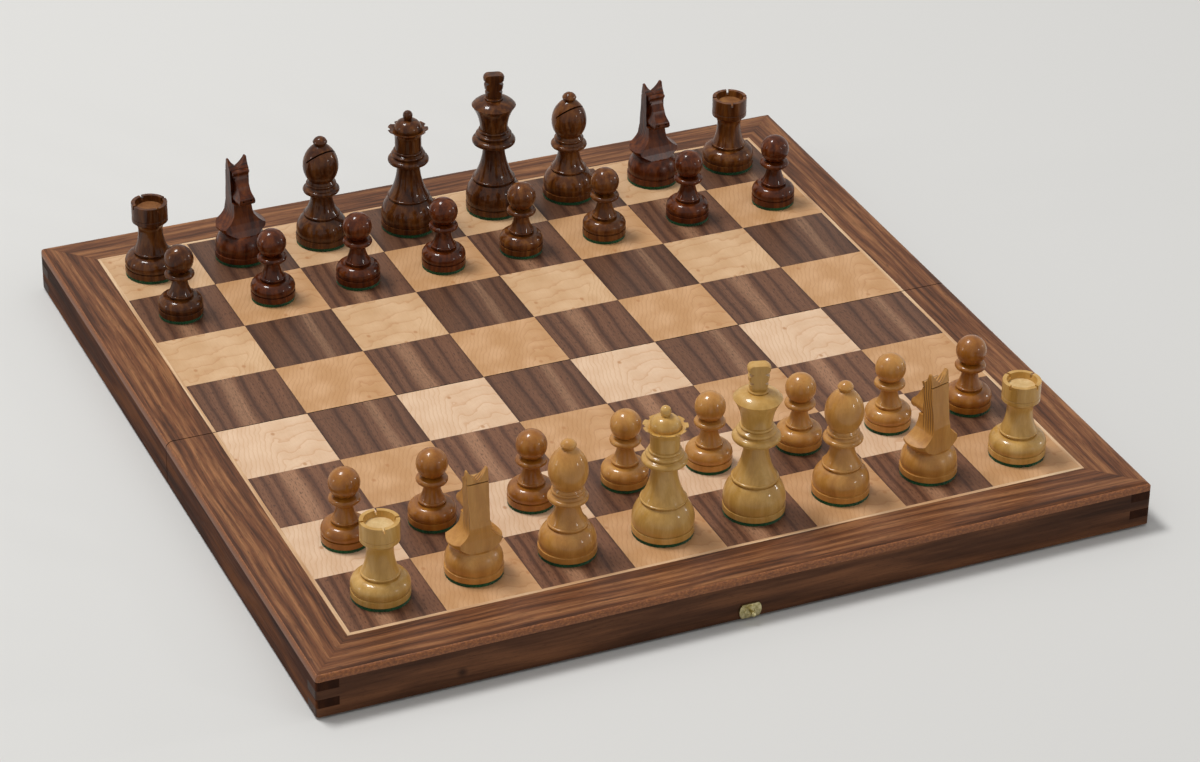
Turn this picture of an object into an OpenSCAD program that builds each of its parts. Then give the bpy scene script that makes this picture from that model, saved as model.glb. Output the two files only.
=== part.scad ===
// Folding chess box with its thirty-two turned men.
//
// The box lies open: two shallow trays, hinged along the middle, turn their undersides up and make
// one playing surface.  X runs to the right along the fold, Y away from the front, Z up.  The origin
// is under the middle of the fold, at the level on which the hinge knuckles rest.  Millimetres.

/* [Playing surface] */
// Side of one square
square_w = 44.5; // [42:0.5:57]
// Width of the border, from the squares to the side face
border_w = 24.5; // [18:0.5:32]
// Width of the light string line round the squares
string_w = 1.8; // [1:0.1:3]
// Thickness of the veneer
veneer_t = 0.8; // [0.5:0.1:1.2]
// Glue line between neighbouring pieces of veneer
seam = 0.08; // [0.04:0.02:0.16]

/* [Case] */
// Height of each half, from its rim to the playing surface
case_h = 22; // [20:0.5:30]
// Thickness of the rails
rail_t = 10.5; // [10:0.5:14]
// Thickness of the core board that lies on the rails
panel_t = 3.4; // [2.6:0.2:6]
// Thickness of the felt lining of the trays
lining_t = 1; // [0.5:0.1:2]
// Play of the felt lining inside the rails
lining_play = 0.3; // [0.1:0.1:1]
// Radius worked on the upper edges
edge_r = 3.2; // [1.5:0.1:4]
// Radius of the upright corners
corner_r = 1.5; // [0.5:0.1:3]
// Number of bands in each finger joint
fingers = 4; // [2:1:6]
// Gap between the open halves along the fold
fold_gap = 0.5; // [0.3:0.1:1]
// Gap between the rims of the closed box
rim_gap = 0.2; // [0.1:0.1:0.6]

/* [Hinges] */
// Distance between the middles of the two hinges
hinge_spread = 260; // [200:5:300]
// Length of a hinge
hinge_l = 38; // [30:1:50]
// Width of a leaf, from the pin axis
leaf_w = 9; // [7:0.5:9.5]
// Thickness of a leaf
leaf_t = 1; // [0.8:0.1:1.2]
// Diameter of the knuckles
knuckle_d = 2.4; // [2.2:0.1:3.2]
// Number of knuckles of a hinge
knuckles = 5; // [3:2:7]
// Gap between neighbouring knuckles
knuckle_gap = 0.2; // [0.1:0.05:0.4]
// Clearance of a leaf and its rail round the knuckles of the other leaf
knuckle_play = 0.2; // [0.1:0.05:0.4]
// Diameter of the hinge pin
pin_d = 1.2; // [0.8:0.1:1.4]
// Radial play of a pin in its bore
pin_play = 0.05; // [0.02:0.01:0.09]

/* [Hinge screws] */
// Distance between neighbouring screws
screw_pitch = 14; // [10:0.5:14]
// Diameter of the screw heads
screw_head_d = 3.2; // [2.6:0.1:3.6]
// Height of the countersunk heads
screw_head_h = 0.8; // [0.5:0.1:1]
// Diameter of the shanks
screw_d = 1.6; // [1.2:0.1:2]
// Length of a screw
screw_l = 6; // [4:0.5:8]
// Width of the driver slot
screw_slot_w = 0.4; // [0.3:0.1:0.6]
// Depth of the driver slot
screw_slot_h = 0.3; // [0.2:0.1:0.5]
// Play of a screw in its holes
screw_play = 0.04; // [0.02:0.02:0.1]

/* [Catch] */
// Width of a catch plate
plate_w = 10.7; // [9:0.1:14]
// Height of a catch plate
plate_h = 7; // [6.2:0.1:9]
// Thickness of a catch plate
plate_t = 0.8; // [0.5:0.1:1.2]
// Distance from a catch plate to the rim
plate_inset = 0.3; // [0.2:0.1:1]
// Outer diameter of the ring raised on a plate
ring_d = 5.6; // [5:0.1:6]
// Width of the raised ring
ring_w = 0.9; // [0.6:0.1:1.2]
// Height of the raised ring
ring_h = 0.35; // [0.2:0.05:0.5]
// Diameter of a stud
stud_d = 1.5; // [1.2:0.1:1.8]
// Diameter of the ball on a stud
ball_d = 2.5; // [2.3:0.1:3.2]
// Free length of a stud between the ring and the ball
stud_l = 1.5; // [1.4:0.1:2.5]
// Thickness of the hook
hook_t = 0.9; // [0.6:0.1:1]
// Width of the hook's arm
hook_w = 3; // [2.4:0.1:3.6]
// Diameter of the hook's eye
eye_d = 4.2; // [3.4:0.1:5]
// Diameter of the hook's tip
tip_d = 4.4; // [4:0.1:5]
// Play of the stud in the hook's slot
slot_play = 0.2; // [0.1:0.05:0.3]

/* [Foot of every man] */
// Thickness of the felt pad
felt_t = 1.55; // [0.8:0.05:2.5]
// Distance from the felt pad's edge to the edge of the foot
felt_inset = 0.45; // [0.2:0.05:1]
// Glue line between the felt pad and the foot
felt_glue = 0.05; // [0.02:0.01:0.1]
// Height of the foot
foot_h = 3; // [2:0.1:4]
// Rounding of the foot's edges
foot_edge = 0.3; // [0.1:0.05:0.5]
// Height of the groove above the foot
groove_h = 0.55; // [0.3:0.05:1]
// Depth of the groove above the foot
groove_depth = 0.7; // [0.4:0.05:1.2]
// Inset of the swell's lower lip
swell_lip = 0.35; // [0.1:0.05:0.6]
// Height of the step between the swell and its ring
step_h = 0.5; // [0.3:0.05:0.8]

/* [King] */
// Diameter of the foot
king_foot_d = 28.6; // [26:0.2:32]
// Height from the groove to the widest part of the swell
king_swell_rise = 2.45; // [1.5:0.05:3.5]
// Height of the swell above its widest part
king_swell_h = 9.3; // [8:0.1:12]
// Diameter at the top of the swell
king_shoulder_d = 21.4; // [20.6:0.2:24]
// Diameter of the ring on the swell
king_ring_d = 21.8; // [20:0.2:22.2]
// Height of the ring on the swell
king_ring_h = 1.5; // [1:0.1:2]
// Height of the stem, up to its waist
king_stem_h = 17.6; // [14:0.2:22]
// Diameter of the waist
king_waist_d = 11; // [9:0.2:13]
// Height of the flare between the waist and the collar
king_flare_h = 1; // [0.6:0.1:2]
// Diameter of the collar
king_collar_d = 22.2; // [20:0.2:24]
// Height of the collar
king_collar_h = 3.6; // [2.6:0.1:4]
// Diameter of the middle collar
king_middle_collar_d = 18.5; // [17:0.1:20]
// Height of the middle collar
king_middle_collar_h = 1.8; // [1.2:0.1:2.2]
// Diameter of the upper collar
king_upper_collar_d = 15.8; // [15:0.1:17]
// Height of the upper collar
king_upper_collar_h = 1.4; // [1:0.1:1.8]
// Height between two collars
king_collar_gap = 0.75; // [0.4:0.05:1.2]
// Diameter of the crown at its foot
king_crown_foot_d = 14; // [12:0.2:14.2]
// Diameter of the crown at its rim
king_crown_d = 22.4; // [20:0.2:25]
// Height of the crown
king_crown_h = 13.2; // [11:0.2:15]
// Height of the dome on the crown
king_dome_h = 3.5; // [3:0.1:5]
// Diameter of the ring under the cross
king_finial_d = 9.6; // [8.4:0.1:11]
// Height of the ring under the cross
king_finial_h = 1; // [0.8:0.1:1.5]
// Height of the cross
king_cross_h = 12.6; // [10:0.2:15]
// Diameter of the turned cross at its foot
king_cross_foot_d = 8.2; // [6:0.2:8.4]
// Diameter of the turned cross at its arms
king_cross_d = 10.8; // [9:0.2:12]
// Rounding of the upper edge of the cross
king_cross_round = 1.8; // [1:0.1:2.4]
// Thickness of the cross between its two flats
king_cross_t = 5.4; // [4:0.2:7]
// Width of the cross between opposite notches
king_cross_core_w = 4.8; // [4:0.2:7]
// Height of the lower pair of notches
king_lower_notch_z = 3.8; // [3:0.1:4.4]
// Height of the upper pair of notches
king_upper_notch_z = 8.2; // [7.4:0.1:8.8]
// Width of a notch where it is widest
king_notch_w = 3; // [2:0.1:3.4]

/* [Queen] */
// Diameter of the foot
queen_foot_d = 28.4; // [26:0.2:32]
// Height from the groove to the widest part of the swell
queen_swell_rise = 2.25; // [1.5:0.05:3.5]
// Height of the swell above its widest part
queen_swell_h = 9.3; // [8:0.1:12]
// Diameter at the top of the swell
queen_shoulder_d = 20.8; // [20.6:0.2:23]
// Diameter of the ring on the swell
queen_ring_d = 21.6; // [19:0.2:21.8]
// Height of the ring on the swell
queen_ring_h = 1.2; // [1:0.1:1.8]
// Height of the stem, up to its waist
queen_stem_h = 16.3; // [13:0.2:20]
// Diameter of the waist
queen_waist_d = 11.6; // [9:0.2:13]
// Height of the flare between the waist and the collar
queen_flare_h = 1.8; // [1:0.1:2.4]
// Diameter of the collar
queen_collar_d = 20.8; // [19:0.2:23]
// Height of the collar
queen_collar_h = 3; // [2.4:0.1:3.8]
// Diameter of the middle collar
queen_middle_collar_d = 17.4; // [16.4:0.1:18.4]
// Height of the middle collar
queen_middle_collar_h = 1.6; // [1.1:0.1:2]
// Diameter of the upper collar
queen_upper_collar_d = 15.2; // [15:0.1:16]
// Height of the upper collar
queen_upper_collar_h = 1.3; // [1:0.1:1.6]
// Height between two collars
queen_collar_gap = 0.68; // [0.4:0.04:1]
// Diameter of the neck under the coronet
queen_neck_d = 13.4; // [12:0.2:13.6]
// Height of the neck under the coronet
queen_neck_h = 6.25; // [4:0.25:8]
// Diameter of the coronet
queen_coronet_d = 20.4; // [19:0.2:23]
// Height of the coronet's flare
queen_coronet_h = 5; // [4.2:0.1:7]
// Width of the coronet's rim
queen_rim_w = 1; // [0.6:0.1:1.4]
// Depth of the dish inside the rim
queen_dish_h = 0.9; // [0.5:0.1:1.5]
// Number of scallops round the coronet
queen_scallops = 9; // [7:1:10]
// Diameter of the tool that cuts a scallop
queen_scallop_d = 3; // [2.4:0.1:4]
// Depth of a scallop
queen_scallop_depth = 1.3; // [0.8:0.1:1.8]
// Slope of a scallop, from upright
queen_scallop_slope = 35; // [20:1:40]
// Diameter of the dome
queen_dome_d = 14; // [13:0.2:16]
// Height of the dome
queen_dome_h = 6; // [5:0.1:7]
// Diameter of the neck under the ball
queen_ball_neck_d = 3.6; // [3:0.1:4.4]
// Diameter of the ball
queen_ball_d = 4.9; // [4.6:0.1:6]

/* [Bishop] */
// Diameter of the foot
bishop_foot_d = 26.6; // [24:0.2:29]
// Diameter of the swell
bishop_swell_d = 26; // [24:0.2:28.6]
// Height from the groove to the widest part of the swell
bishop_swell_rise = 2.15; // [1.5:0.05:3]
// Height of the swell above its widest part
bishop_swell_h = 7.4; // [6:0.1:9]
// Diameter at the top of the swell
bishop_shoulder_d = 18; // [17.6:0.2:20]
// Diameter of the ring on the swell
bishop_ring_d = 18.5; // [16:0.1:18.8]
// Height of the ring on the swell
bishop_ring_h = 1.3; // [1:0.1:1.8]
// Height of the stem, up to its waist
bishop_stem_h = 10.2; // [8:0.2:14]
// Diameter of the waist
bishop_waist_d = 10.7; // [8.5:0.1:12]
// Height of the flare between the waist and the collar
bishop_flare_h = 1.1; // [0.8:0.1:2]
// Diameter of the collar
bishop_collar_d = 18.5; // [17:0.1:20]
// Height of the collar
bishop_collar_h = 2.8; // [2.2:0.1:3.4]
// Diameter of the upper collar
bishop_upper_collar_d = 15.3; // [14.6:0.1:16.6]
// Height of the upper collar
bishop_upper_collar_h = 1.6; // [1.2:0.1:2]
// Height between the two collars
bishop_collar_gap = 1.2; // [0.8:0.1:1.6]
// Diameter of the mitre at its foot
bishop_mitre_foot_d = 12.4; // [11:0.2:13]
// Height of the taper under the mitre
bishop_taper_h = 1.1; // [0.6:0.1:2]
// Diameter of the mitre
bishop_mitre_d = 18; // [16:0.2:20]
// Height of the mitre, up to its widest part
bishop_mitre_rise = 8; // [6:0.2:10]
// Height of the mitre above its widest part
bishop_mitre_h = 11.6; // [10:0.2:14]
// Diameter of the neck under the button
bishop_neck_d = 5.2; // [4:0.1:6]
// Diameter of the button
bishop_button_d = 7.3; // [6.6:0.1:8]
// Height of the button below its widest part
bishop_button_rise = 1.5; // [1.4:0.1:2]
// Height of the button above its widest part
bishop_button_h = 2.6; // [2:0.1:3.4]
// Width of the saw cut in the mitre
bishop_cut_w = 0.8; // [0.6:0.1:1.6]
// Slope of the saw cut, from level
bishop_cut_slope = 47; // [30:1:50]
// Height above the mitre's widest part at which the cut ends, on the axis
bishop_cut_rise = 3.4; // [2:0.1:6]

/* [Knight] */
// Diameter of the foot
knight_foot_d = 26.6; // [25:0.2:29]
// Diameter of the swell
knight_swell_d = 26; // [24.8:0.2:28]
// Height from the groove to the widest part of the swell
knight_swell_rise = 2.15; // [1.5:0.05:3]
// Height of the swell above its widest part
knight_swell_h = 7.2; // [6:0.1:9]
// Diameter at the top of the swell
knight_shoulder_d = 19; // [17:0.2:20]
// Diameter of the blank from which the head is sawn
knight_blank_d = 24.8; // [24:0.2:26]
// Height of the flare between the swell and the blank
knight_flare_h = 3.4; // [3:0.1:4]
// Depth of the head from back to chest, where it stands on the swell
knight_seat_w = 16.6; // [15:0.2:18.4]
// Width across the mane, behind the eyes
knight_mane_w = 10.2; // [9.8:0.1:11]
// Distance from the axis forward to the nose
knight_nose_reach = 9.3; // [9:0.1:10]
// Distance from the axis back to the nape, at the kerf
knight_nape_reach = 4.7; // [4.4:0.1:5.2]
// Distance from the axis forward to the hollowed cheeks
knight_cheek_start = 0.6; // [0:0.1:1.2]
// Diameter of the drilled eyes
knight_eye_d = 1.3; // [0.8:0.1:2]
// Distance from the axis forward to the eyes
knight_eye_reach = 2.2; // [1.4:0.1:3]
// Height of the eyes above the flare
knight_eye_z = 27; // [25:0.2:28]
// Diameter of the drilled nostrils
knight_nostril_d = 1.1; // [0.7:0.1:1.5]
// Distance between the bottoms of the two eyes
knight_eye_floor_w = 6; // [5:0.2:7]
// Distance between the nostrils
knight_nostril_spread = 4; // [3:0.2:5]
// Height of the nostrils above the flare
knight_nostril_z = 17; // [16:0.2:18]
// Depth of the nostrils
knight_drill_depth = 1; // [0.5:0.1:1.6]
// Height of the saw kerf behind the ears, above the flare
knight_kerf_z = 30; // [29:0.2:31]
// Width of the saw kerf behind the ears
knight_kerf_w = 0.5; // [0.3:0.1:0.8]
// Depth of the saw kerf behind the ears
knight_kerf_depth = 0.9; // [0.5:0.1:1.4]

/* [Rook] */
// Diameter of the foot
rook_foot_d = 26.6; // [24:0.2:29]
// Height from the groove to the widest part of the swell
rook_swell_rise = 1.65; // [1:0.05:2.5]
// Height of the swell above its widest part
rook_swell_h = 4.9; // [4.8:0.1:7]
// Diameter at the top of the swell
rook_shoulder_d = 17.4; // [17:0.2:20]
// Diameter of the ring on the swell
rook_ring_d = 17.8; // [16:0.1:18.4]
// Height of the ring on the swell
rook_ring_h = 1.2; // [1:0.1:1.6]
// Height of the stem, up to its waist
rook_stem_h = 11.1; // [9:0.1:14]
// Diameter of the waist
rook_waist_d = 12; // [10:0.2:14]
// Height of the flare under the tower
rook_flare_h = 5; // [4:0.1:7]
// Diameter of the tower
rook_tower_d = 17.8; // [16:0.1:20]
// Height of the tower
rook_tower_h = 9.7; // [8:0.1:12]
// Height of the line cut round the tower, above its foot
rook_line_rise = 1.85; // [1:0.05:3]
// Height of the line cut round the tower
rook_line_h = 0.5; // [0.3:0.05:0.8]
// Depth of the line cut round the tower
rook_line_depth = 0.25; // [0.1:0.05:0.4]
// Inner diameter of the cup at its rim
rook_cup_d = 14.1; // [13.2:0.1:15.4]
// Inner diameter of the cup at its floor
rook_cup_floor_d = 12.8; // [10:0.1:13]
// Depth of the cup
rook_cup_h = 3; // [2.7:0.1:5]
// Width of the four slits in the tower's wall
rook_slit_w = 1.1; // [0.8:0.1:2]
// Depth of the four slits
rook_slit_h = 2; // [1.4:0.1:2.6]

/* [Pawn] */
// Diameter of the foot
pawn_foot_d = 22; // [20:0.2:24]
// Height from the groove to the widest part of the swell
pawn_swell_rise = 1.35; // [1:0.05:2]
// Height of the swell above its widest part
pawn_swell_h = 4.1; // [3.6:0.1:5.5]
// Diameter at the top of the swell
pawn_shoulder_d = 16; // [15:0.2:17]
// Diameter of the ring on the swell
pawn_ring_d = 13; // [12:0.1:14.4]
// Height of the ring on the swell
pawn_ring_h = 1.3; // [1:0.1:1.8]
// Height of the stem, up to its waist
pawn_stem_h = 8.1; // [6:0.1:11]
// Diameter of the waist
pawn_waist_d = 7.3; // [6:0.1:9]
// Height of the flare between the waist and the collar
pawn_flare_h = 0.5; // [0.3:0.1:1]
// Diameter of the collar
pawn_collar_d = 14.6; // [13:0.1:16]
// Height of the collar
pawn_collar_h = 2.9; // [2:0.1:3.6]
// Diameter of the neck between the collar and the ball
pawn_neck_d = 7.8; // [6:0.1:9]
// Height of the neck
pawn_neck_h = 0.3; // [0.2:0.1:0.8]
// Diameter of the ball
pawn_ball_d = 14.4; // [13:0.1:16]
// Height of the ball below its widest part
pawn_ball_rise = 6.2; // [5.4:0.1:6.5]

/* [Hidden] */
$fn = 72;

// Greatest distance between a drawn arc and the true one
arc_tolerance = 0.04;
// Overlap of a cutting tool past the face that it cuts
over = 1;

half_w = 4 * square_w + border_w;
board_w = 2 * half_w;
field_edge = 4 * square_w;
string_edge = field_edge + string_w;

hinge_z = knuckle_d / 2;
rim_z = hinge_z + rim_gap / 2;
top_z = rim_z + case_h;
core_z = top_z - veneer_t;
panel_z = core_z - panel_t;
rail_h = panel_z - rim_z;
finger_h = rail_h / fingers;
tray_w = half_w - rail_t;
fold_face = fold_gap / 2;
fold_rail_back = fold_face + rail_t;

knuckle_pitch = hinge_l / knuckles;
screw_row = (leaf_w + knuckle_d / 2) / 2;

catch_rise = plate_inset + plate_h / 2;
catch_z = rim_z + catch_rise;
catch_span = 2 * catch_rise + rim_gap;
stud_reach = plate_t + ring_h + stud_l;
hook_z = plate_t + ring_h + (stud_l - hook_t) / 2;
slot_w = stud_d + 2 * slot_play;

foot_z = felt_t + felt_glue;

walnut = "#6b4a3c";
maple = "#e6cfa8";
core_brown = "#9a6238";
brass = "#b5a06a";
felt_green = "#1d4a2a";
boxwood = "#d3a55c";
sheesham = "#6e2f1a";

FILES = ["a", "b", "c", "d", "e", "f", "g", "h"];
BACK_RANK = ["rook", "knight", "bishop", "queen", "king", "bishop", "knight", "rook"];

// Where each man stands off the middle of its square, and which way it is turned, file a to h
WHITE_BACK_OFF = [[0, -0.5], [0, 2], [-0.5, 1], [1, 0.5], [1.5, 1], [0, 0], [0.5, 0.5], [1.5, -0.5]];
WHITE_BACK_TURN = [-8, 92, 62, 0, -16, 84, 105, 24];
WHITE_PAWN_OFF = [[1, 2], [-2, 2.5], [0.5, 0.5], [2, 0.5], [-0.5, 0.5], [0.5, 0], [2.5, 0.5], [0.5, 1]];
BLACK_BACK_OFF = [[-2.5, 1.5], [-0.5, 1], [-2, 1.5], [-0.5, -0.5], [2, 1], [-1, 1], [2, 0.5], [0.5, 0.5]];
BLACK_BACK_TURN = [12, -84, -76, 0, -14, -76, -86, -16];
BLACK_PAWN_OFF = [[-2.5, 0.5], [0, -0.5], [0, -0.5], [0.5, -1.5], [-2, -1], [-1.5, -2], [1, -0.5], [4.5, -1.5]];

function back_name(side, file) =
    BACK_RANK[file] == "king" || BACK_RANK[file] == "queen"
        ? str(side, "_", BACK_RANK[file])
        : str(side, "_", BACK_RANK[file], "_", FILES[file]);

function pawn_name(side, file) = str(side, "_pawn_", FILES[file]);

// ---- Outlines: points along arcs ----

// How an outline runs from one station to the next
STRAIGHT = 0;
UPRIGHT_START = 1;
UPRIGHT_END = 2;
LEVEL_END = 3;

function swapped(p) = [p.y, p.x];

function reversed(list) = [for (i = [len(list) - 1:-1:0]) list[i]];

function arc_steps(radius, turn) =
    max(2, ceil(turn / 2 / acos(max(0, 1 - arc_tolerance / radius))));

// The arc that leaves `start` upright and ends at `end`, without its first point
function upright_arc(start, end) =
    let (
        run = abs(end.x - start.x),
        rise = abs(end.y - start.y),
        turn = 2 * atan2(run, rise),
        radius = (run * run + rise * rise) / (2 * run),
        steps = arc_steps(radius, turn)
    )
    [for (i = [1:steps])
        let (a = turn * i / steps)
        start + [sign(end.x - start.x) * radius * (1 - cos(a)), sign(end.y - start.y) * radius * sin(a)]];

// The same arc run backwards: it leaves `start` and meets `end` upright
function arc_to_upright(start, end) =
    let (back = upright_arc(end, start))
    concat([for (i = [len(back) - 2:-1:0]) back[i]], [end]);

function stretch_points(start, end, bend) =
    bend == UPRIGHT_START ? upright_arc(start, end)
    : bend == UPRIGHT_END ? arc_to_upright(start, end)
    : bend == LEVEL_END ? [for (p = arc_to_upright(swapped(start), swapped(end))) swapped(p)]
    : [end];

// The stations of an outline, from its start and a list of stretches [rise, radius at the end, bend]
function stations(start, stretches) =
    [for (i = 0, p = start;
          i <= len(stretches);
          p = i < len(stretches) ? [stretches[i][1], p.y + stretches[i][0]] : p, i = i + 1) p];

// The half section of a turned piece, from its start on the foot to its end on the axis
function turned_outline(start, stretches) =
    let (marks = stations(start, stretches))
    concat(
        [[0, start.y], start],
        [for (i = [0:len(stretches) - 1]) each stretch_points(marks[i], marks[i + 1], stretches[i][2])]
    );

function bead_root(d, h) = (d - h) / 2;

// A half-round bead that starts and ends at its root radius
function bead(d, h) = [[h / 2, d / 2, UPRIGHT_END], [h / 2, bead_root(d, h), UPRIGHT_START]];

// The foot, the groove and the swell with its ring, which every man shares
function foot_stretches(foot_d, swell_d, swell_rise, swell_h, shoulder_d) = [
    [foot_edge, foot_d / 2, UPRIGHT_END],
    [foot_h - 2 * foot_edge, foot_d / 2, STRAIGHT],
    [foot_edge, foot_d / 2 - foot_edge, UPRIGHT_START],
    [0, foot_d / 2 - groove_depth, STRAIGHT],
    [groove_h, foot_d / 2 - groove_depth, STRAIGHT],
    [0, swell_d / 2 - swell_lip, STRAIGHT],
    [swell_rise, swell_d / 2, UPRIGHT_END],
    [swell_h, shoulder_d / 2, UPRIGHT_START]
];

function ring_stretches(ring_d, ring_h) = concat(
    [[0, bead_root(ring_d, ring_h), STRAIGHT], [step_h, bead_root(ring_d, ring_h), STRAIGHT]],
    bead(ring_d, ring_h)
);

module turned(foot_d, stretches) {
    rotate_extrude()
        polygon(turned_outline([foot_d / 2 - foot_edge, foot_z], stretches));
}

module felt_pad(foot_d) {
    color(felt_green)
        cylinder(d = foot_d - 2 * felt_inset, h = felt_t);
}

// ---- The case ----

// The outline of a rounded upper edge, from the side face to the top
function rounded_edge(side) =
    stretch_points([side * half_w, top_z - edge_r], [side * (half_w - edge_r), top_z], UPRIGHT_START);

// The outer form of the near half, with its worked edges; every rail and veneer keeps inside it
module near_form() {
    across = concat(
        [[-half_w, 0], [-half_w, top_z - edge_r]],
        rounded_edge(-1),
        reversed(rounded_edge(1)),
        [[half_w, top_z - edge_r], [half_w, 0]]
    );
    along = concat(
        [[-half_w, rim_z], [-half_w, top_z - edge_r]],
        rounded_edge(-1),
        [[-fold_face, top_z], [-fold_face, rim_z]]
    );
    corner = upright_arc([-half_w, corner_r - half_w], [corner_r - half_w, -half_w]);
    plan = concat(
        [[-half_w, 0], [-half_w, corner_r - half_w]],
        corner,
        [for (p = reversed(corner)) [-p.x, p.y]],
        [[half_w, corner_r - half_w], [half_w, 0]]
    );
    intersection() {
        rotate([90, 0, 0])
            linear_extrude(half_w + over)
                polygon(across);
        rotate([90, 0, 90])
            linear_extrude(board_w + 2 * over, center = true)
                polygon(along);
        linear_extrude(top_z + over)
            polygon(plan);
    }
}

// The far half is built like the near one, turned over the fold line
module far_side() {
    mirror([0, 1, 0])
        children();
}

// The bands of a finger joint, every other one from the band `first`, in the near corner of `side`
module finger_sockets(side, first) {
    for (band = [first:2:fingers - 1])
        translate([side * (half_w - rail_t / 2), -half_w + rail_t / 2, rim_z + (band + 0.5) * finger_h])
            cube([rail_t, rail_t, finger_h], center = true);
}

// The outer long rail: its fingers show on the side faces
module long_rail() {
    color(walnut)
        difference() {
            intersection() {
                near_form();
                translate([-half_w, -half_w, rim_z])
                    cube([board_w, rail_t, rail_h]);
            }
            for (side = [-1, 1])
                finger_sockets(side, 1);
        }
}

// A side rail: its fingers show their end grain on the long face
module side_rail(side) {
    color(walnut)
        difference() {
            intersection() {
                near_form();
                translate([side * (half_w - rail_t / 2) - rail_t / 2, -half_w, rim_z])
                    cube([rail_t, half_w - fold_face, rail_h]);
            }
            finger_sockets(side, 0);
        }
}

// The rail along the fold carries the hinges in its rim
module fold_rail() {
    color(walnut)
        difference() {
            translate([-tray_w, -fold_rail_back, rim_z])
                cube([2 * tray_w, rail_t, rail_h]);
            at_hinges() {
                translate([-hinge_l / 2, -leaf_w, rim_z - over])
                    cube([hinge_l, leaf_w + over, leaf_t + over]);
                translate([0, 0, hinge_z])
                    rotate([0, 90, 0])
                        cylinder(d = knuckle_d + 2 * knuckle_play, h = hinge_l, center = true);
                screw_forms(screw_play);
            }
        }
}

// The core board lies on the rails, and its worked edge shows all round
module core_panel() {
    color(core_brown)
        intersection() {
            near_form();
            translate([-half_w, -half_w, panel_z])
                cube([board_w, half_w, panel_t]);
        }
}

module felt_lining() {
    reach = tray_w - lining_play;
    color(felt_green)
        translate([-reach, -reach, panel_z - lining_t])
            cube([2 * reach, reach - fold_rail_back - lining_play, lining_t]);
}

// ---- The playing surface ----

// One square of veneer; files and ranks count from 0 at the near left corner
module square_tile(file, rank) {
    near_edge = (rank - 4) * square_w + (rank == 4 ? fold_face : seam / 2);
    far_edge = (rank - 3) * square_w - (rank == 3 ? fold_face : seam / 2);
    translate([(file - 4) * square_w + seam / 2, near_edge, core_z])
        cube([square_w - seam, far_edge - near_edge, veneer_t]);
}

// The squares of one colour in four ranks; the near left corner square is dark
module squares(ranks, light, tone) {
    color(tone)
        for (file = [0:7], rank = ranks)
            if ((file + rank) % 2 == light)
                square_tile(file, rank);
}

// Three strips of veneer round the near half of the field, mitred at the two corners
module mitred_strips(inner, outer) {
    translate([0, 0, core_z])
        linear_extrude(veneer_t) {
            polygon([[seam - outer, -outer], [outer - seam, -outer],
                     [inner - seam, -inner], [seam - inner, -inner]]);
            for (side = [-1, 1])
                polygon([[side * outer, -outer], [side * inner, -inner],
                         [side * inner, -fold_face], [side * outer, -fold_face]]);
        }
}

module string_line() {
    color(maple)
        mitred_strips(field_edge, string_edge - seam);
}

module border_veneer() {
    color(walnut)
        intersection() {
            near_form();
            mitred_strips(string_edge, half_w + over);
        }
}

// ---- Hinges ----

module at_hinges() {
    for (side = [-1, 1])
        translate([side * hinge_spread / 2, 0, 0])
            children();
}

// Cylinders on the hinge axis at every other knuckle from `first`, each longer than its knuckle by `extra`
module knuckle_row(first, d, extra) {
    for (i = [first:2:knuckles - 1])
        translate([(i + 0.5) * knuckle_pitch - hinge_l / 2, 0, hinge_z])
            rotate([0, 90, 0])
                cylinder(d = d, h = knuckle_pitch + extra, center = true);
}

// A leaf with its knuckles; the other leaf has the knuckles in between
module hinge_leaf(first) {
    color(brass)
        at_hinges()
            difference() {
                union() {
                    translate([-hinge_l / 2, -leaf_w, rim_z])
                        cube([hinge_l, leaf_w, leaf_t]);
                    knuckle_row(first, knuckle_d, -knuckle_gap);
                }
                knuckle_row(1 - first, knuckle_d + 2 * knuckle_play, knuckle_gap);
                translate([0, 0, hinge_z])
                    rotate([0, 90, 0])
                        cylinder(d = pin_d + 2 * pin_play, h = hinge_l + over, center = true);
                screw_forms(screw_play);
            }
}

module hinge_pin() {
    color(brass)
        at_hinges()
            translate([0, 0, hinge_z])
                rotate([0, 90, 0])
                    cylinder(d = pin_d, h = hinge_l - knuckle_gap, center = true);
}

// The three countersunk screws of one leaf, grown by `play` on every side
module screw_forms(play) {
    for (i = [-1:1])
        translate([i * screw_pitch, -screw_row, rim_z]) {
            translate([0, 0, -play])
                cylinder(d1 = screw_head_d + 2 * play, d2 = screw_d + 2 * play, h = screw_head_h + play);
            cylinder(d = screw_d + 2 * play, h = screw_l + play);
        }
}

module hinge_screws() {
    color(brass)
        at_hinges()
            difference() {
                screw_forms(0);
                for (i = [-1:1])
                    translate([i * screw_pitch, -screw_row, rim_z])
                        cube([screw_head_d + over, screw_slot_w, 2 * screw_slot_h], center = true);
            }
}

// ---- Catch ----

// Puts a fitting, drawn flat with its back on the XY plane, on the near long face at the catch's height
module on_long_face() {
    translate([0, -half_w, catch_z])
        rotate([90, 0, 0])
            children();
}

// A plate with round ends, its raised ring and the ball-headed stud riveted through it
module catch_plate() {
    color(brass) {
        linear_extrude(plate_t)
            intersection() {
                square([plate_w, plate_h], center = true);
                circle(d = plate_w);
            }
        difference() {
            cylinder(d = ring_d, h = plate_t + ring_h);
            translate([0, 0, plate_t])
                cylinder(d = ring_d - 2 * ring_w, h = ring_h + over);
        }
        cylinder(d = stud_d, h = stud_reach + ball_d / 2);
        translate([0, 0, stud_reach + ball_d / 2])
            sphere(d = ball_d);
    }
}

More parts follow.
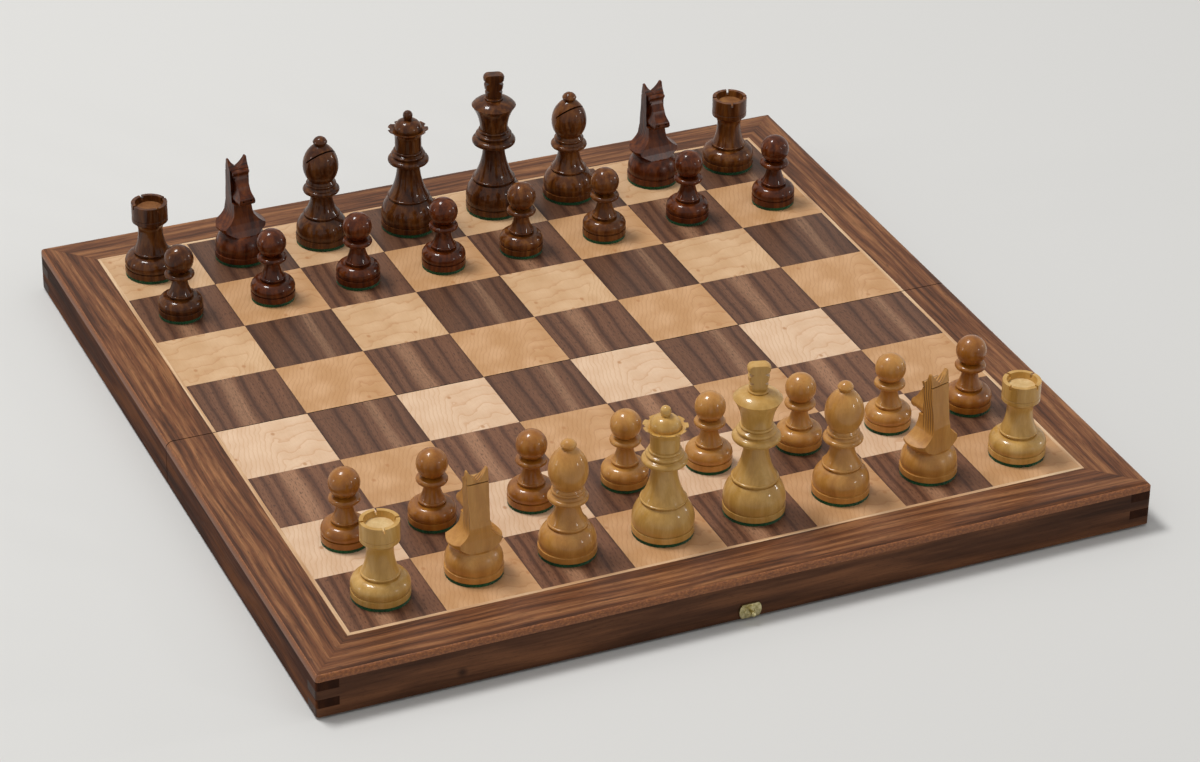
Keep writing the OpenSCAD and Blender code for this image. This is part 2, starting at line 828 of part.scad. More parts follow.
// The hook at rest points to the left; its slot follows the circle on which it swings to the stud
module hook() {
    color(brass)
        translate([0, 0, hook_z])
            linear_extrude(hook_t)
                difference() {
                    union() {
                        circle(d = eye_d);
                        translate([-catch_span, -hook_w / 2])
                            square([catch_span, hook_w]);
                        translate([-catch_span, 0])
                            circle(d = tip_d);
                    }
                    circle(d = stud_d + 2 * pin_play);
                    translate([-catch_span, 0])
                        circle(d = slot_w);
                    intersection() {
                        difference() {
                            circle(r = catch_span + slot_w / 2);
                            circle(r = catch_span - slot_w / 2);
                        }
                        translate([-catch_span - tip_d, -tip_d])
                            square([2 * tip_d, tip_d]);
                    }
                }
}

// ---- Men ----

// The middle of a square on the playing surface
module on_square(file, rank, off, turn) {
    translate([(file - 3.5) * square_w + off.x, (rank - 3.5) * square_w + off.y, top_z])
        rotate([0, 0, turn])
            children();
}

king_stretches = concat(
    foot_stretches(king_foot_d, king_foot_d, king_swell_rise, king_swell_h, king_shoulder_d),
    ring_stretches(king_ring_d, king_ring_h),
    [[king_stem_h, king_waist_d / 2, UPRIGHT_END],
     [king_flare_h, king_waist_d / 2 + king_flare_h, UPRIGHT_START],
     [0, bead_root(king_collar_d, king_collar_h), STRAIGHT]],
    bead(king_collar_d, king_collar_h),
    [[king_collar_gap, bead_root(king_middle_collar_d, king_middle_collar_h), STRAIGHT]],
    bead(king_middle_collar_d, king_middle_collar_h),
    [[king_collar_gap, bead_root(king_upper_collar_d, king_upper_collar_h), STRAIGHT]],
    bead(king_upper_collar_d, king_upper_collar_h),
    [[0, king_crown_foot_d / 2, STRAIGHT],
     [king_crown_h, king_crown_d / 2, UPRIGHT_START],
     [king_dome_h, bead_root(king_finial_d, king_finial_h), LEVEL_END]],
    bead(king_finial_d, king_finial_h),
    [[0, 0, STRAIGHT]]
);
king_top = stations([0, foot_z], king_stretches)[len(king_stretches)].y;

// The king's cross: a turned knob with two flats and a pair of notches in each edge
module king_cross() {
    shoulder_z = king_cross_h - king_cross_round;
    notch_reach = king_cross_d / 2;
    outline = concat(
        [[0, -over], [king_cross_foot_d / 2, -over], [king_cross_foot_d / 2, 0], [king_cross_d / 2, shoulder_z]],
        upright_arc([king_cross_d / 2, shoulder_z], [king_cross_d / 2 - king_cross_round, king_cross_h]),
        [[0, king_cross_h]]
    );
    difference() {
        intersection() {
            rotate_extrude()
                polygon(outline);
            translate([0, 0, king_cross_h / 2])
                cube([2 * king_cross_d, king_cross_t, 2 * king_cross_h], center = true);
        }
        for (side = [-1, 1], level = [king_lower_notch_z, king_upper_notch_z])
            translate([side * king_cross_core_w / 2, 0, level])
                rotate([90, 0, 0])
                    linear_extrude(king_cross_t + over, center = true)
                        polygon([[0, 0], [side * notch_reach, -king_notch_w], [side * notch_reach, king_notch_w]]);
    }
}

module king(tone) {
    color(tone) {
        turned(king_foot_d, king_stretches);
        translate([0, 0, king_top])
            king_cross();
    }
    felt_pad(king_foot_d);
}

queen_stretches = concat(
    foot_stretches(queen_foot_d, queen_foot_d, queen_swell_rise, queen_swell_h, queen_shoulder_d),
    ring_stretches(queen_ring_d, queen_ring_h),
    [[queen_stem_h, queen_waist_d / 2, UPRIGHT_END],
     [queen_flare_h, queen_waist_d / 2 + queen_flare_h / 2, UPRIGHT_START],
     [0, bead_root(queen_collar_d, queen_collar_h), STRAIGHT]],
    bead(queen_collar_d, queen_collar_h),
    [[queen_collar_gap, bead_root(queen_middle_collar_d, queen_middle_collar_h), STRAIGHT]],
    bead(queen_middle_collar_d, queen_middle_collar_h),
    [[queen_collar_gap, bead_root(queen_upper_collar_d, queen_upper_collar_h), STRAIGHT]],
    bead(queen_upper_collar_d, queen_upper_collar_h),
    [[0, queen_neck_d / 2, STRAIGHT],
     [queen_neck_h, queen_neck_d / 2, STRAIGHT],
     [queen_coronet_h, queen_coronet_d / 2, UPRIGHT_START],
     [0, queen_coronet_d / 2 - queen_rim_w, STRAIGHT],
     [-queen_dish_h, queen_dome_d / 2, STRAIGHT],
     [queen_dome_h, queen_ball_neck_d / 2, LEVEL_END],
     [queen_ball_d / 2, queen_ball_d / 2, UPRIGHT_END],
     [queen_ball_d / 2, 0, UPRIGHT_START]]
);
queen_rim_z = stations([0, foot_z], queen_stretches)[len(queen_stretches) - 5].y;

module queen(tone) {
    color(tone)
        difference() {
            turned(queen_foot_d, queen_stretches);
            for (i = [0:queen_scallops - 1])
                rotate([0, 0, i * 360 / queen_scallops])
                    translate([queen_coronet_d / 2 + queen_scallop_d / 2 - queen_scallop_depth, 0, queen_rim_z])
                        rotate([0, -queen_scallop_slope, 0])
                            cylinder(d = queen_scallop_d, h = 3 * queen_coronet_h, center = true);
        }
    felt_pad(queen_foot_d);
}

bishop_stretches = concat(
    foot_stretches(bishop_foot_d, bishop_swell_d, bishop_swell_rise, bishop_swell_h, bishop_shoulder_d),
    ring_stretches(bishop_ring_d, bishop_ring_h),
    [[bishop_stem_h, bishop_waist_d / 2, UPRIGHT_END],
     [bishop_flare_h, bishop_waist_d / 2 + bishop_flare_h / 2, UPRIGHT_START],
     [0, bead_root(bishop_collar_d, bishop_collar_h), STRAIGHT]],
    bead(bishop_collar_d, bishop_collar_h),
    [[bishop_collar_gap, bead_root(bishop_upper_collar_d, bishop_upper_collar_h), STRAIGHT]],
    bead(bishop_upper_collar_d, bishop_upper_collar_h),
    [[bishop_taper_h, bishop_mitre_foot_d / 2, STRAIGHT],
     [bishop_mitre_rise, bishop_mitre_d / 2, UPRIGHT_END],
     [bishop_mitre_h, bishop_neck_d / 2, UPRIGHT_START],
     [bishop_button_rise, bishop_button_d / 2, UPRIGHT_END],
     [bishop_button_h, 0, LEVEL_END]]
);
bishop_mitre_z = stations([0, foot_z], bishop_stretches)[len(bishop_stretches) - 3].y;

module bishop(tone) {
    color(tone)
        difference() {
            turned(bishop_foot_d, bishop_stretches);
            translate([0, 0, bishop_mitre_z + bishop_cut_rise])
                rotate([0, -bishop_cut_slope, 0])
                    translate([0, -bishop_mitre_d / 2, -bishop_cut_w / 2])
                        cube([bishop_mitre_d, bishop_mitre_d, bishop_cut_w]);
        }
    felt_pad(bishop_foot_d);
}

rook_stretches = concat(
    foot_stretches(rook_foot_d, rook_foot_d, rook_swell_rise, rook_swell_h, rook_shoulder_d),
    ring_stretches(rook_ring_d, rook_ring_h),
    [[rook_stem_h, rook_waist_d / 2, UPRIGHT_END],
     [rook_flare_h, rook_tower_d / 2, UPRIGHT_START],
     [rook_line_rise, rook_tower_d / 2, STRAIGHT],
     [rook_line_h / 2, rook_tower_d / 2 - rook_line_depth, STRAIGHT],
     [rook_line_h / 2, rook_tower_d / 2, STRAIGHT],
     [rook_tower_h - rook_line_rise - rook_line_h, rook_tower_d / 2, STRAIGHT],
     [0, rook_cup_d / 2, STRAIGHT],
     [-rook_cup_h, rook_cup_floor_d / 2, STRAIGHT],
     [0, 0, STRAIGHT]]
);
rook_top = stations([0, foot_z], rook_stretches)[len(rook_stretches) - 2].y;

module rook(tone) {
    color(tone)
        difference() {
            turned(rook_foot_d, rook_stretches);
            for (turn = [0, 90])
                translate([0, 0, rook_top])
                    rotate([0, 0, turn])
                        cube([rook_tower_d + over, rook_slit_w, 2 * rook_slit_h], center = true);
        }
    felt_pad(rook_foot_d);
}

pawn_stretches = concat(
    foot_stretches(pawn_foot_d, pawn_foot_d, pawn_swell_rise, pawn_swell_h, pawn_shoulder_d),
    ring_stretches(pawn_ring_d, pawn_ring_h),
    [[pawn_stem_h, pawn_waist_d / 2, UPRIGHT_END],
     [pawn_flare_h, pawn_waist_d / 2 + pawn_flare_h, UPRIGHT_START],
     [0, bead_root(pawn_collar_d, pawn_collar_h), STRAIGHT]],
    bead(pawn_collar_d, pawn_collar_h),
    [[pawn_neck_h, pawn_neck_d / 2, STRAIGHT],
     [pawn_ball_rise, pawn_ball_d / 2, UPRIGHT_END],
     [pawn_ball_d / 2, 0, UPRIGHT_START]]
);

module pawn(tone) {
    color(tone)
        turned(pawn_foot_d, pawn_stretches);
    felt_pad(pawn_foot_d);
}

knight_stretches = concat(
    foot_stretches(knight_foot_d, knight_swell_d, knight_swell_rise, knight_swell_h, knight_shoulder_d),
    [[0, 0, STRAIGHT]]
);
knight_neck_z = stations([0, foot_z], knight_stretches)[len(knight_stretches)].y + knight_flare_h;
knight_low = -knight_flare_h - over;
knight_half_blank = knight_blank_d / 2 + over;
knight_seat = knight_seat_w / 2;
knight_mane_half = knight_mane_w / 2;
knight_kerf_back = -knight_nape_reach;

// Sawn outlines of the knight, measured forward from its axis and up from the flare's edge:
// each point is [forward, up, how far the edge that reaches it bulges to its right]
KNIGHT_SIDE = [
    [-knight_seat, knight_low, 0], [-knight_seat, -knight_flare_h, 0], [-7.4, 9, 0.4], [-6.4, 15.5, 0.1], [-5.3, 22, 0],
    [-knight_nape_reach, knight_kerf_z, 0], [-3.7, 35.4, 0], [-2.8, 36.6, -0.3], [-1.9, 36.2, -0.3], [0.4, 30.8, 0.4],
    [2, 30.7, 0], [2.9, 29.6, -0.4], [2.3, 28.2, 0.2], [5.3, 23.4, 0.3], [8.2, 19.2, 0.3],
    [knight_nose_reach, 16.8, -0.5], [8, 14.5, -0.7], [4.8, 15, 0.3], [3.3, 12.4, 0.4], [3.8, 9.5, 0],
    [knight_seat, -knight_flare_h, 0.5], [knight_seat, knight_low, 0]
];
KNIGHT_FRONT = [
    [-knight_half_blank, knight_low, 0], [-knight_half_blank, 0.6, 0], [-5.3, 7, 1.1], [-4.7, 12, 0.1], [-5, 21, 0],
    [-knight_mane_half, knight_kerf_z, 0], [-5.1, 35.8, 0], [-4.5, 36.6, -0.2], [0, 31, 0.5],
    [4.5, 36.6, 0.5], [5.1, 35.8, -0.2], [knight_mane_half, knight_kerf_z, 0], [5, 21, 0], [4.7, 12, 0],
    [5.3, 7, 0.1], [knight_half_blank, 0.6, 1.1], [knight_half_blank, knight_low, 0]
];
// The face in front of the cheeks, from under the muzzle to the brow, seen from the front
KNIGHT_FACE = [
    [-knight_blank_d, 13.4, 0], [-2.9, 13.4, 0], [-4.2, 17.2, -0.5], [-3.1, 23.2, 0.35], [-4, 27.8, 0.2],
    [-4.4, 28.8, 0], [-4.4, 38.4, 0],
    [4.4, 38.4, 0], [4.4, 28.8, 0], [4, 27.8, 0], [3.1, 23.2, 0.2], [4.2, 17.2, 0.35], [2.9, 13.4, -0.5],
    [knight_blank_d, 13.4, 0], [knight_blank_d, knight_low - over, 0], [-knight_blank_d, knight_low - over, 0]
];

// Points of the edge from `start` to `end`, as an arc that bulges to its right by `sag`
function sagged_edge(start, end, sag) =
    let (
        chord = norm(end - start),
        radius = sag == 0 ? 0 : (chord * chord / 4 + sag * sag) / (2 * abs(sag)),
        half_turn = sag == 0 ? 0 : asin(chord / 2 / radius),
        steps = sag == 0 ? 1 : arc_steps(radius, 2 * half_turn),
        ahead = (end - start) / chord,
        right = [ahead.y, -ahead.x]
    )
    [for (i = [1:steps])
        let (a = half_turn * (2 * i / steps - 1))
        sag == 0 ? end
        : (start + end) / 2 + ahead * radius * sin(a)
          + right * sign(sag) * (radius * cos(a) - radius + abs(sag))];

function sawn_outline(marks) = [
    for (i = [0:len(marks) - 1])
        let (from = marks[(i + len(marks) - 1) % len(marks)], to = marks[i])
        each sagged_edge([from.x, from.y], [to.x, to.y], to.z)
];

// The sawn and carved head; the knight looks along +X before it is turned
module knight_head() {
    difference() {
        intersection() {
            rotate([90, 0, 0])
                linear_extrude(2 * knight_blank_d, center = true)
                    polygon(sawn_outline(KNIGHT_SIDE));
            rotate([90, 0, 90])
                linear_extrude(2 * knight_blank_d, center = true)
                    polygon(sawn_outline(KNIGHT_FRONT));
            union() {
                rotate([90, 0, 90])
                    linear_extrude(knight_blank_d)
                        polygon(sawn_outline(KNIGHT_FACE));
                translate([knight_cheek_start - knight_blank_d, -knight_blank_d / 2, knight_low - over])
                    cube([knight_blank_d, knight_blank_d, 2 * knight_blank_d]);
            }
            rotate_extrude()
                polygon([
                    [0, knight_low], [knight_shoulder_d / 2, knight_low], [knight_shoulder_d / 2, -knight_flare_h],
                    [knight_blank_d / 2, 0], [knight_blank_d / 2, 2 * knight_blank_d], [0, 2 * knight_blank_d]
                ]);
        }
        knight_bores();
    }
}

// The eyes and nostrils, and the saw kerf behind the ears
module knight_bores() {
    for (side = [-1, 1]) {
        translate([knight_eye_reach, side * knight_eye_floor_w / 2, knight_eye_z])
            rotate([-side * 90, 0, 0])
                cylinder(d = knight_eye_d, h = knight_blank_d);
        translate([knight_nose_reach - knight_drill_depth, side * knight_nostril_spread / 2, knight_nostril_z])
            rotate([0, 90, 0])
                cylinder(d = knight_nostril_d, h = knight_blank_d);
    }
    translate([knight_kerf_back + knight_kerf_depth - knight_blank_d, -knight_blank_d / 2,
               knight_kerf_z - knight_kerf_w / 2])
        cube([knight_blank_d, knight_blank_d, knight_kerf_w]);
}

module knight(tone) {
    color(tone) {
        turned(knight_foot_d, knight_stretches);
        translate([0, 0, knight_neck_z])
            knight_head();
    }
    felt_pad(knight_foot_d);
}

module man(kind, tone) {
    if (kind == "king")
        king(tone);
    else if (kind == "queen")
        queen(tone);
    else if (kind == "bishop")
        bishop(tone);
    else if (kind == "knight")
        knight(tone);
    else if (kind == "rook")
        rook(tone);
    else
        pawn(tone);
}

// ---- The pieces by name ----

long_rail();  // near_front_rail
side_rail(-1);  // near_left_rail
side_rail(1);  // near_right_rail
fold_rail();  // near_fold_rail
core_panel();  // near_panel
squares([0:3], 1, maple);  // near_light_squares
squares([0:3], 0, walnut);  // near_dark_squares
string_line();  // near_string_line
border_veneer();  // near_border_veneer
felt_lining();  // near_lining
hinge_leaf(0);  // near_hinge_leaves
hinge_screws();  // near_hinge_screws
hinge_pin();  // hinge_pins

far_side() long_rail();  // far_back_rail
far_side() side_rail(-1);  // far_left_rail
far_side() side_rail(1);  // far_right_rail
far_side() fold_rail();  // far_fold_rail
far_side() core_panel();  // far_panel
squares([4:7], 1, maple);  // far_light_squares
squares([4:7], 0, walnut);  // far_dark_squares
far_side() string_line();  // far_string_line
far_side() border_veneer();  // far_border_veneer
far_side() felt_lining();  // far_lining
far_side() hinge_leaf(1);  // far_hinge_leaves
far_side() hinge_screws();  // far_hinge_screws

on_long_face() catch_plate();  // catch_stud_plate
far_side() on_long_face() catch_plate();  // catch_hook_plate
far_side() on_long_face() hook();  // catch_hook

for (file = [0:7]) {
    on_square(file, 0, WHITE_BACK_OFF[file], WHITE_BACK_TURN[file]) man(BACK_RANK[file], boxwood);
    on_square(file, 1, WHITE_PAWN_OFF[file], 0) man("pawn", boxwood);
    on_square(file, 6, BLACK_PAWN_OFF[file], 0) man("pawn", sheesham);
    on_square(file, 7, BLACK_BACK_OFF[file], BLACK_BACK_TURN[file]) man(BACK_RANK[file], sheesham);
}
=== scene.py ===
"""Dresses the folding chess box and its men: woods, felt, brass, floor, light and camera."""

import logging
import math
from collections.abc import Callable, Sequence
from dataclasses import dataclass, field, replace
from enum import Enum
from functools import partial

import bpy
import numpy as np
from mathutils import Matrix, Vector

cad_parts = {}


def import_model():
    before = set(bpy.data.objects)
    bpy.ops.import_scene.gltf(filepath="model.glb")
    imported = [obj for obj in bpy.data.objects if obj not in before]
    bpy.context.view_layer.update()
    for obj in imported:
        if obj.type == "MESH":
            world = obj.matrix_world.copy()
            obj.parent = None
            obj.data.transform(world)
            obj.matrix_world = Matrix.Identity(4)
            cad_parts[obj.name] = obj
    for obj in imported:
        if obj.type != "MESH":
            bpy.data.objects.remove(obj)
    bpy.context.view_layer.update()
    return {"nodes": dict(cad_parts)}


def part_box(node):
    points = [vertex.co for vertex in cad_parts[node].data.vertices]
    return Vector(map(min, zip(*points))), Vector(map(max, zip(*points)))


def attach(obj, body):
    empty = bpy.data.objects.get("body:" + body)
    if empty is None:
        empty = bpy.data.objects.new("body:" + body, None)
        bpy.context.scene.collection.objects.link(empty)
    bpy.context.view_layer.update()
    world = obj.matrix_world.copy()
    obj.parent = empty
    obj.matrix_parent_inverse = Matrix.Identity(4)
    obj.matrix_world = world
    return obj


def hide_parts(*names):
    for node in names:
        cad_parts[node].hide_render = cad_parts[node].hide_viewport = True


LOG = logging.getLogger("chess_box")

# One millimetre in metres. The lengths below are in millimetres: the level of the playing surface,
# the width of a square, the thickness of a pad, and how near the middle a face at the fold lies.
MM = 0.001
TOP_Z = 23.3
SQUARE_W = 44.5
FELT_T = 1.6
FOLD_REACH = 0.4

# The squares from the edge of the playing field to its middle.
HALF_FIELD = 4.0

# The values between which almost all of a soft noise lies.
NOISE = (0.3, 0.7)

# Corners in the same half micrometre count as one.
CORNER_STEPS = 2e6

Node = bpy.types.Node
Adder = Callable[..., Node]
Pair = tuple[float, float]
Triple = tuple[float, float, float]


class Grain(Enum):
    """The way in which the fibres of a piece of wood run."""

    ACROSS = "xyz -> yzx"
    AWAY = "xyz -> xzy"
    FRAMED = "along each strip of a mitred frame"


def linear(tone: str) -> tuple[float, float, float, float]:
    """Turns an sRGB hex value into the linear colour that a shader takes.

    Args:
        tone: the colour as "#rrggbb".

    Returns:
        Red, green, blue and an alpha of 1.
    """
    parts = [int(tone[i : i + 2], 16) / 255 for i in (1, 3, 5)]
    red, green, blue = (
        p / 12.92 if p <= 0.04045 else ((p + 0.055) / 1.055) ** 2.4 for p in parts
    )
    return red, green, blue, 1.0


def add_node(
    tree: bpy.types.NodeTree,
    kind: str,
    inputs: Sequence[object] | dict[str, object] = (),
    stops: Sequence[tuple[float, str]] = (),
    **settings: object,
) -> Node:
    """Adds one node with its settings, its input values and its links.

    Args:
        tree: the node tree that gets the node.
        kind: the node's type name without the leading "ShaderNode".
        inputs: what goes into the node's inputs, in their order or by name: a value, a socket, or a
            node, of which the first output is taken.
        stops: places and hex colours, for a colour ramp.
        settings: attributes of the node itself.

    Returns:
        The new node.
    """
    node = tree.nodes.new("ShaderNode" + kind)
    for key, value in settings.items():
        setattr(node, key, value)
    ordered = [socket for socket in node.inputs if socket.enabled]
    for key, value in inputs.items() if isinstance(inputs, dict) else enumerate(inputs):
        socket = ordered[key] if isinstance(key, int) else node.inputs[key]
        if isinstance(value, bpy.types.Node):
            value = next(output for output in value.outputs if output.enabled)
        if isinstance(value, bpy.types.NodeSocket):
            tree.links.new(value, socket)
        else:
            socket.default_value = value
    if stops:
        band = node.color_ramp.elements
        while len(band) < len(stops):
            band.new(1.0)
        for mark, (place, tone) in zip(band, stops):
            mark.position = place
            mark.color = linear(tone)
    return node


def new_material(name: str) -> tuple[bpy.types.Material, Adder, Node]:
    """Makes a material that holds only its output and a principled shader.

    Args:
        name: the material's name.

    Returns:
        The material, the function that adds a node to it, and the shader.
    """
    material = bpy.data.materials.new(name)
    material.use_nodes = True
    material.node_tree.nodes.clear()
    add = partial(add_node, material.node_tree)
    shader = add("BsdfPrincipled")
    add("OutputMaterial", {"Surface": shader})
    return material, add, shader


def place_in_mm(add: Adder) -> Node:
    """Lays the nodes that give the place on the piece in millimetres."""
    return add("VectorMath", [add("TexCoord").outputs["Object"], 1 / MM], operation="SCALE")


def spots(
    add: Adder,
    place: Node,
    size: Sequence[float],
    detail: float = 2.0,
    roughness: float = 0.5,
    shift: Sequence[float] = (0.0, 0.0, 0.0),
) -> Node:
    """Lays a soft noise whose spots have a given size.

    Args:
        add: the function that adds a node.
        place: the coordinates in millimetres.
        size: the spots' size along the three coordinates, in millimetres.
        detail: how many finer layers the noise has.
        roughness: how strong each finer layer is.
        shift: where on the noise the piece lies, so that two noises differ.

    Returns:
        The noise node; its first output runs from 0 to 1 round 0.5.
    """
    pressed = add("Mapping", {"Vector": place, "Location": shift, "Scale": [1 / s for s in size]})
    return add(
        "TexNoise", {"Vector": pressed, "Scale": 1.0, "Detail": detail, "Roughness": roughness}
    )


def swayed(add: Adder, run: Node, size: Sequence[float], reach: float) -> tuple[Node, Node]:
    """Lets the fibres wander a little to the sides.

    Args:
        add: the function that adds a node.
        run: the coordinates in millimetres, the third one along the grain.
        size: the size of a sway along the three coordinates, in millimetres.
        reach: how far apart the two ends of a sway lie, in millimetres.

    Returns:
        The swayed coordinates, and the noise that moved them.
    """
    sway = spots(add, run, size, detail=1.0)
    from_middle = {"Location": (-reach / 2, -reach / 2, 0.0), "Scale": (reach, reach, 0.0)}
    aside = add("Mapping", {"Vector": sway.outputs["Color"], **from_middle})
    return add("VectorMath", [run, aside], operation="ADD"), sway


def squares_in(add: Adder, length: bpy.types.NodeSocket) -> Node:
    """Counts the squares, with their fractions, from the edge of the playing field."""
    steps = add("Math", [length, SQUARE_W], operation="DIVIDE")
    return add("Math", [steps, HALF_FIELD], operation="ADD")


def joined(
    add: Adder, shader: Node, colour: Node, gloss: Node, relief: Node, strength: float, depth: float
) -> None:
    """Links a finish's colour, roughness and relief to its shader.

    Args:
        add: the function that adds a node.
        shader: the principled shader.
        colour: the node that gives the colour.
        gloss: the node that gives the roughness.
        relief: the node that gives the height of the surface, from 0 to 1.
        strength: how much of the relief shows.
        depth: the height that stands for 1, in millimetres.
    """
    bump = add("Bump", {"Height": relief, "Strength": strength, "Distance": depth * MM})
    tree = shader.id_data
    for node, name in ((colour, "Base Color"), (gloss, "Roughness"), (bump, "Normal")):
        shown = next(output for output in node.outputs if output.enabled)
        tree.links.new(shown, shader.inputs[name])


@dataclass(frozen=True)
class Wood:
    """Planed wood, oiled or lacquered: broad streaks, fine fibres and open pores along the grain.

    The widths are millimetres across the grain: `streak` of the colour streaks, `fibre` of the fine
    lines, `pore` of the pores. A real pore is under 0.2 mm wide; it is drawn wider so that it
    shows. Streaks and fibres are `stretch` times and pores `pore_stretch` times as long as wide.
    `sway` is how far the grain wanders and `relief` how high the fibres stand, also in millimetres.
    `knot` is the place of a pin knot, which is dark out to the first of `knot_r`, gone at the
    second, and ragged by `knot_ragged`. `pore_span` gives the noise values between which a pore
    opens, and `end_span` how squarely a face must cut the fibres to look like end grain.
    """

    name: str
    grain: Grain
    dark: str = "#321a0c"
    middle: str = "#4c2d19"
    light: str = "#6c4429"
    pore_tone: str = "#201109"
    end_tone: str = "#2b160c"
    streak: float = 4.0
    contrast: float = 0.14
    fibre: float = 0.7
    pore: float = 0.3
    stretch: float = 30.0
    pore_stretch: float = 12.0
    sway: float = 5.0
    sway_size: Triple = (30.0, 30.0, 90.0)
    fibre_share: float = 0.14
    pore_share: float = 0.4
    pore_span: Pair = (0.62, 0.7)
    end_share: float = 0.85
    end_span: Pair = (0.7, 0.97)
    roughness: float = 0.48
    gloss_swing: float = 0.07
    gloss_level: float = 0.15
    strength: float = 0.35
    relief: float = 0.05
    knot: Triple | None = None
    knot_r: Pair = (0.9, 3.2)
    knot_ragged: float = 1.5
    knot_share: float = 0.75

    def run(self, add: Adder, place: Node) -> Node:
        """Turns the coordinates so that the third one runs along the grain.

        Args:
            add: the function that adds a node.
            place: the coordinates in millimetres.

        Returns:
            The node with the turned coordinates.
        """
        part = add("SeparateXYZ", [place]).outputs
        across = add("CombineXYZ", [part[1], part[2], part[0]])
        away = add("CombineXYZ", [part[0], part[2], part[1]])
        if self.grain is Grain.ACROSS:
            return across
        if self.grain is Grain.AWAY:
            return away
        sides = [add("Math", [part[i]], operation="ABSOLUTE") for i in (0, 1)]
        at_side = add("Math", sides, operation="GREATER_THAN")
        return add("Mix", [at_side, across, away], data_type="VECTOR")

    def end_grain(self, add: Adder) -> Node:
        """Finds the faces that cut the fibres off.

        Args:
            add: the function that adds a node.

        Returns:
            The node that gives `end_share` on such a face, and 0 on one along the fibres.
        """
        axis = 0 if self.grain is Grain.ACROSS else 1
        facing = add("SeparateXYZ", [add("TexCoord").outputs["Normal"]]).outputs[axis]
        square = add("Math", [facing], operation="ABSOLUTE")
        return add("MapRange", [square, *self.end_span, 0.0, self.end_share])

    def build(self) -> bpy.types.Material:
        """Builds the material: streaks, fibres, pores, knot, end grain, gloss and relief.

        Returns:
            The material.
        """
        material, add, shader = new_material(self.name)
        place = place_in_mm(add)
        run, sway = swayed(add, self.run(add, place), self.sway_size, self.sway)
        wide, fine, pore = self.streak, self.fibre, self.pore
        bands = spots(add, run, (wide, 2 * wide, wide * self.stretch), detail=3.0, roughness=0.6)
        low, high = 0.5 - self.contrast, 0.5 + self.contrast
        stops = [(low, self.dark), (0.5, self.middle), (high, self.light)]
        tone = add("ValToRGB", [bands], stops=stops)
        size = (fine, fine, fine * self.stretch)
        lines = spots(add, run, size, detail=3.0, roughness=0.6, shift=(9.0, 4.0, 2.0))
        gain = add("MapRange", [lines, *NOISE, 1 - self.fibre_share, 1 + self.fibre_share])
        tone = add("VectorMath", [tone, gain], operation="SCALE")
        size = (pore, pore, self.pore_stretch * pore)
        holes = spots(add, run, size, detail=1.0, shift=(3.0, 7.0, 5.0))
        hole = add("MapRange", [holes, *self.pore_span])
        share = add("Math", [hole, self.pore_share], operation="MULTIPLY")
        tone = add("Mix", [share, tone, linear(self.pore_tone)], data_type="RGBA")
        if self.knot:
            drift = [sway.outputs["Color"], self.knot_ragged]
            drift = add("VectorMath", drift, operation="SCALE")
            ragged = add("VectorMath", [place, drift], operation="ADD")
            far = add("VectorMath", [ragged, self.knot], operation="DISTANCE")
            heart = add("MapRange", [far, *self.knot_r, self.knot_share, 0.0])
            tone = add("Mix", [heart, tone, linear(self.pore_tone)], data_type="RGBA")
        if self.grain is not Grain.FRAMED:
            end = self.end_grain(add)
            tone = add("Mix", [end, tone, linear(self.end_tone)], data_type="RGBA")
        dull, bright = self.roughness + self.gloss_swing, self.roughness - self.gloss_swing
        gloss = add("MapRange", [lines, *NOISE, dull, bright])
        relief = add("Math", [lines, hole], operation="SUBTRACT")
        joined(add, shader, tone, gloss, relief, self.strength, self.relief)
        shader.inputs["Specular IOR Level"].default_value = self.gloss_level
        return material


@dataclass(frozen=True)
class Rings:
    """How the growth rings of one leaf of maple run over a square.

    `bend` is where the steep rings begin, in millimetres across the square, `lean` how far they
    lean, `fall` how far the level rings slope, and `flipped` turns the leaf over.
    """

    bend: float
    lean: float
    fall: float
    flipped: bool
    tone: str
    shade: str
    line: str


